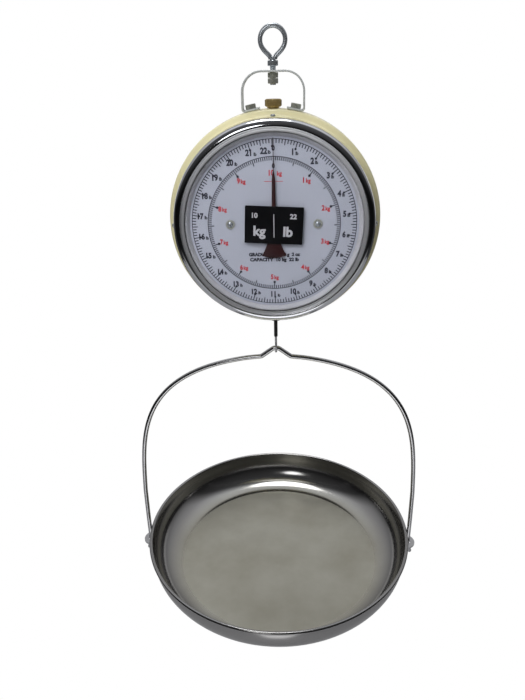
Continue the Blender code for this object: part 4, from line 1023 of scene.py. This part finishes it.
ridges = run_tree(
    "knob_ridges", ridge_tree(), Count=52, Radius=body_radius, Long=5.4 * MM, Wide=0.34 * MM,
    Height=(knob_high.z + knob_base) / 2, Material=BRASS,
)
keep(ridges, BRASS, "zero_knob", "brass")
bush_low, bush_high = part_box("zero_bush")
collar_low = bush_high.z - COLLAR_HEIGHT
collar = [(6.2 * MM, bush_high.z), (6.2 * MM, collar_low), (4.5 * MM, collar_low)]
collar += [(4.5 * MM, bush_low.z), (2.9 * MM, bush_low.z), (2.9 * MM, bush_high.z)]
keep(lathe("zero_collar", soften(collar, 0.25 * MM), UPRIGHT, 96), BRASS, "housing", "brass", "zero_bush")

# %% [markdown]
# ## Hook and sleeve
# The hook is one thin wire. It leaves the drum through a guide bush, covered by a black sleeve,
# steps back and turns up in front, so that the bail's peak drops in and stays under the rod.

# %% Hook
BAIL_WIRE, HOOK_WIRE = 5.5 * MM, 2.6 * MM
HOOK_RADIUS = (BAIL_WIRE + HOOK_WIRE) / 2 + 0.3 * MM
hook_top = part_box("load_hook")[1].z
shank_end = Vector((0, 0, SEAT_Z + 9.5 * MM))
sweep = bezier(
    shank_end, shank_end - Vector((0, 0, 4 * MM)),
    Vector((0, HOOK_RADIUS, SEAT_Z + 4 * MM)), Vector((0, HOOK_RADIUS, SEAT_Z)), 14,
)
bowl = [Vector((0, y, z)) for y, z in arc(HOOK_RADIUS, 0, -180, 28, (0, SEAT_Z))]
hook_tip = [Vector((0, -HOOK_RADIUS - out * MM, SEAT_Z + up * MM)) for out, up in ((0.2, 3), (0.9, 5))]
hook_path = [Vector((0, 0, hook_top))] + sweep + bowl[1:] + hook_tip
keep(wire("hook_wire", hook_path, HOOK_WIRE), WIRE_CHROME, "hook", "chrome", "load_hook")
sleeve_low, sleeve_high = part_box("hook_sleeve")
sleeve = soften(tube(2.1 * MM, 1.4 * MM, sleeve_low.z, sleeve_high.z), 0.3 * MM)
keep(lathe("rod_sleeve", sleeve, UPRIGHT, 48), SLEEVE, "hook", "black_plastic", "hook_sleeve")
guide_low, guide_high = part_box("guide_bush")
guide = [(4 * MM, guide_high.z), (4 * MM, guide_low.z + 2 * MM), (7 * MM, guide_low.z + 2 * MM)]
guide += [(7 * MM, guide_low.z), (2.5 * MM, guide_low.z), (2.5 * MM, guide_high.z)]
guide_piece = lathe("rod_guide", soften(guide, 0.3 * MM), UPRIGHT, 64)
keep(guide_piece, SLEEVE, "housing", "black_plastic", "guide_bush")

# %% [markdown]
# ## Bail
# One bright wire runs over the hook in a small peak, out along a flat shoulder, and down to the
# ears, where it passes a slot and turns out. The route is a few arcs and one Bezier curve for each
# half, mirrored.

# %% Bail
BAIL_HALF = PAN_RADIUS + BAIL_WIRE / 2 + 0.75 * MM
BAIL_HEIGHT = SEAT_Z - PAN_HIGH.z


def half_bail():
    """The right-hand half, from the middle of the hook seat to the wire's end under the ear."""
    seat = Vector((0, 0, SEAT_Z))
    kink = seat + Vector((17.5 * MM, 0, -11 * MM))
    shoulder_end = Vector((BAIL_HALF - 0.5 * MM, 0, SEAT_Z - 0.78 * BAIL_HEIGHT))
    across = shoulder_end.x - kink.x
    shoulder = bezier(
        kink + Vector((6 * MM, 0, -0.3 * MM)), kink + Vector((0.97, 0, -0.115)) * across,
        shoulder_end + Vector((-0.03, 0, 0.55)) * across, shoulder_end, 48,
    )
    peak = rounded([Vector((-kink.x, 0, kink.z)), seat + Vector((0, 0, 1.95 * MM)), kink], [8 * MM], 16)[9:-1]
    bend = rounded([peak[-1], kink, shoulder[1]], [6 * MM], 8)[1:-1]
    at_ear = Vector((BAIL_HALF, 0, EAR_Z))
    leg = rounded([shoulder_end, at_ear + Vector((0, 0, 40 * MM)), at_ear], [60 * MM], 6)
    turn_z = EAR_Z - 3.6 * MM
    flare = math.radians(38)
    stub = Vector((BAIL_HALF, 0, EAR_Z - 12 * MM)) + Vector((math.sin(flare), 0, -math.cos(flare))) * 7 * MM
    end = rounded([at_ear, Vector((BAIL_HALF, 0, turn_z)), stub], [6 * MM], 8)
    return peak + bend + shoulder[1:-1] + leg[:-1] + end[1:]


bail_right = half_bail()
bail_left = [Vector((-point.x, 0, point.z)) for point in reversed(bail_right[1:])]
keep(wire("bail_wire", bail_left + bail_right, BAIL_WIRE), WIRE_CHROME, "bail", "chrome", "bail")

# %% [markdown]
# ## Pan
# The pan is spun from stainless sheet: a flat floor, a quarter-round wall and a rolled rim. Such a
# rim is normally rolled hollow. The lathe makes it as a full round, with a fine line where the
# sheet would meet itself.

# %% Pan
BEAD = 2.2 * MM
PAN_SHEET = 1.4 * MM
WALL_OUT = PAN_RADIUS - 3 * MM
CURVE = 37 * MM
bead_centre = (PAN_RADIUS - BEAD, PAN_HIGH.z - BEAD)
curve_centre = (WALL_OUT - CURVE, PAN_LOW.z + CURVE)
pan_profile = arc(BEAD, 168, -62, 22, bead_centre)
pan_profile += arc(0.35 * MM, 120, 200, 3, (WALL_OUT + 0.45 * MM, bead_centre[1] - 2.2 * MM))
pan_profile += arc(CURVE, 0, -90, 30, curve_centre) + [(0, PAN_LOW.z), (0, PAN_LOW.z + PAN_SHEET)]
pan_profile += arc(CURVE - PAN_SHEET, -90, 0, 30, curve_centre)
keep(lathe("pan_dish", pan_profile, UPRIGHT, 256), PAN_STEEL, "pan", "stainless", "weighing_pan")

# %% [markdown]
# ## Pan ears
# Each ear is an L of sheet steel. Its upright leg lies against the pan wall, where spot welds would
# hold it (they aren't modelled), and its round-ended tab has a slot for the wire. The shape is a
# slice of a turned ring, trimmed by a round blank, and the slot is cut last.

# %% Ears


def pan_ear(name, side):
    sheet = 1.8 * MM
    low = math.degrees(math.asin((EAR_Z - curve_centre[1]) / CURVE))
    back = arc(CURVE + 0.15 * MM, low, 0, 10, curve_centre)
    face = arc(CURVE + 0.15 * MM + sheet, 0, low + 4, 10, curve_centre)
    reach, half_sheet = PAN_RADIUS + 14 * MM, sheet / 2
    profile = face + [(reach, EAR_Z + half_sheet), (reach, EAR_Z - half_sheet)]
    profile += [(back[0][0], EAR_Z - half_sheet)] + back
    ear = lathe(name, profile, UPRIGHT, 360)
    spot = Matrix.Translation((side * (BAIL_HALF - 4 * MM), 0, EAR_Z))
    blank = lathe(name + "_blank", tube(13 * MM, 0, -30 * MM, 60 * MM), spot, 96)
    long, wide, tall = (BAIL_WIRE + 3.2 * MM) / 2, (BAIL_WIRE + 0.9 * MM) / 2, 6 * MM
    slot_loop = soften([(wide, -long), (wide, long), (-wide, long), (-wide, -long)], 2.4 * MM, 6)
    shape = bmesh.new()
    floor = shape.faces.new([shape.verts.new((side * BAIL_HALF + x, y, EAR_Z - tall)) for x, y in slot_loop])
    raised = bmesh.ops.extrude_face_region(shape, geom=[floor])["geom"]
    top = [item for item in raised if isinstance(item, bmesh.types.BMVert)]
    bmesh.ops.translate(shape, verts=top, vec=(0, 0, 2 * tall))
    slot = mesh_piece(name + "_slot", shape)
    for tool, operation in ((blank, "INTERSECT"), (slot, "DIFFERENCE")):
        step = ear.modifiers.new(tool.name, "BOOLEAN")
        step.operation, step.object = operation, tool
    made = plain_mesh(ear)
    for tool in (blank, slot):
        bpy.data.objects.remove(tool)
    return made


for side_name, side in (("right", 1), ("left", -1)):
    keep(pan_ear("ear_" + side_name, side), WIRE_CHROME, "pan", "stainless", "pan_ear_" + side_name)

# %% [markdown]
# ## Springs and inside pieces
# The two extension springs stretch as the load comes on, but each is drawn here as one fixed coil
# of wire between the drum, which holds its top, and the carriage, which pulls its bottom. The inside
# pieces keep the packed shapes and only get a finish.

# %% Springs
for side_name, node_name in (("right", "load_spring_right"), ("left", "load_spring_left")):
    low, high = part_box(node_name)
    x = math.copysign(22 * MM, low.x + high.x)
    coil_high, coil_low = high.z - 14.6 * MM, low.z + 14.6 * MM
    turns, steps = 24, 20
    coil = []
    for i in range(turns * steps + 1):
        swing = 2 * math.pi * i / steps
        z = coil_high + (coil_low - coil_high) * i / (turns * steps)
        coil.append(Vector((x + 5.1 * MM * math.cos(swing), 5.1 * MM * math.sin(swing), z)))
    path = [Vector((x, 0, high.z - 1 * MM)), Vector((x, 0, coil_high + 3 * MM))] + coil
    path += [Vector((x, 0, coil_low - 3 * MM)), Vector((x, 0, low.z + 1 * MM))]
    spring = wire("spring_coil_" + side_name, path, 1.8 * MM)
    spring.data.materials.append(STEEL)
    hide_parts(node_name)
    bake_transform(spring)
    print(spring.name, len(spring.data.polygons), "faces, from housing to carriage")

# %% Inside pieces
INSIDE = {
    ZINC: ("chassis_", "dial_post", "zero_bush_nut", "guide_bush_nut", "strap_nut", "rack_screw", "hook_nut"),
    BRASS: ("arbor_bush", "pointer_hub", "pinion_gear", "rack_bar"),
    STEEL: ("spring_yoke", "load_crossbar", "pointer_arbor"),
}
for material, starts in INSIDE.items():
    for name, piece in frame["nodes"].items():
        if name.startswith(starts):
            piece.data.materials.clear()
            piece.data.materials.append(material)
            print(name, "finished in", material.name)

# %% [markdown]
# ## Floor
# The floor is pale and far below, so that no hard shadow shows. It lights the scale's underside,
# while the camera sees it in the same white as the backdrop.

# %% Floor


def plain_to_camera(material):
    """The floor lights the scale from below, but the camera sees it as plain white, like the backdrop."""
    tree = material.node_tree
    plain = node(tree, "ShaderNodeEmission", Color=(1, 1, 1, 1), Strength=1.0)
    seen = for_rays(tree, "Is Camera Ray", tree.nodes["Principled BSDF"].outputs[0], plain.outputs[0])
    feed(tree, tree.nodes["Material Output"].inputs["Surface"], seen)


FLOOR_Z = -1.6  # the eye hangs at z = 0
shape = bmesh.new()
bmesh.ops.create_circle(
    shape, cap_ends=True, segments=64, radius=2.4, matrix=Matrix.Translation((0, 0, FLOOR_Z))
)
floor = mesh_piece("floor", shape)
pale = finish("pale floor", (0.62, 0.62, 0.63), (0.60, 0.60, 0.61), (0.8, 0.9), scale=2.0, grain=40.0)
plain_to_camera(pale)
floor.data.materials.append(pale)
print("floor at z", FLOOR_Z)

# %% [markdown]
# ## Studio light
# What bright metal mirrors is the room. Behind the scale is a white backdrop, which draws the thin
# bright line on the bezel's outer edge. The room on the reader's side is dark, which makes the
# black band inside it. Overhead it is paler, for the pan. Two soft lamps light the paint and the
# dial without being mirrored, and three more are there to be mirrored: one above, one low in front,
# and a small one that puts a spark on the wires.

# %% Studio light
SKY = ((0.0, 0.10), (0.35, 0.04), (0.50, 0.03), (0.58, 0.16), (0.70, 0.34), (0.85, 0.50))  # (height, grey)
SKY_TOP = (0.80, 0.82, 0.86, 1)


def studio_world():
    world = bpy.data.worlds.new("studio")
    bpy.context.scene.world = world
    world.use_nodes = True
    tree = world.node_tree
    tree.nodes.clear()
    place = node(tree, "ShaderNodeTexCoord")
    split = node(tree, "ShaderNodeSeparateXYZ", Vector=place.outputs["Generated"])
    back, up = split.outputs["Y"], split.outputs["Z"]
    sky = node(tree, "ShaderNodeValToRGB", Fac=between(tree, up, -1.0, 1.0))
    ramp = sky.color_ramp
    ramp.elements[1].position, ramp.elements[1].color = 1.0, SKY_TOP
    for position, grey in SKY:
        stop = ramp.elements[0] if position == 0 else ramp.elements.new(position)
        stop.color = (grey, grey, grey if position == 0 else grey * 1.03, 1)
    room = node(tree, "ShaderNodeVectorMath", operation="SCALE", Vector=sky.outputs["Color"])
    feed(tree, room.inputs["Scale"], between(tree, back, -0.15, 0.15, 0.12, 1.0))
    below_front = maths(
        tree, "MULTIPLY", between(tree, up, -0.38, -0.5), between(tree, back, -0.4, -0.8, 0.0, 0.8)
    )
    near_level = between(tree, maths(tree, "ABSOLUTE", up), 0.12, 0.28, 0.7, 0.0)
    backdrop = maths(tree, "MULTIPLY", near_level, between(tree, back, 0.45, 0.8))
    glow = maths(tree, "ADD", below_front, backdrop)
    whole = node(tree, "ShaderNodeVectorMath", operation="ADD", Vector=room.outputs[0])
    feed(tree, whole.inputs[1], vector(tree, glow, glow, glow))
    lit = node(tree, "ShaderNodeBackground", Color=whole.outputs[0], Strength=1.0)
    seen = node(tree, "ShaderNodeBackground", Color=(1, 1, 1, 1), Strength=1.0)
    out = node(tree, "ShaderNodeOutputWorld")
    feed(tree, out.inputs["Surface"], for_rays(tree, "Is Camera Ray", lit.outputs[0], seen.outputs[0]))


def soft_light(name, place, target_z, size, power, mirrored=True):
    """A round lamp that faces a point on the plumb line."""
    data = bpy.data.lights.new(name, "AREA")
    data.shape, data.size, data.energy = "DISK", size, power
    light = bpy.data.objects.new(name, data)
    light.location = place
    light.visible_glossy = mirrored
    aim = Vector((0, 0, target_z)) - Vector(place)
    light.rotation_euler = aim.to_track_quat("-Z", "Y").to_euler()
    bpy.context.scene.collection.objects.link(light)


studio_world()
soft_light("key", (-0.60, -1.2, 1.0), -0.3, 1.1, 15.5, mirrored=False)
soft_light("fill", (1.3, -0.9, 0.2), -0.3, 0.8, 0.6, mirrored=False)
soft_light("top", (-0.1, 0.22, 1.25), -0.3, 0.75, 7)
soft_light("low", (0, -1.2, -1.3), -0.3, 0.8, 1.6)
soft_light("sparkle", (-0.35, -1.3, 0.4), -0.3, 0.45, 1.6)
print("lights:", len(bpy.data.lights))

# %% Finish
import json
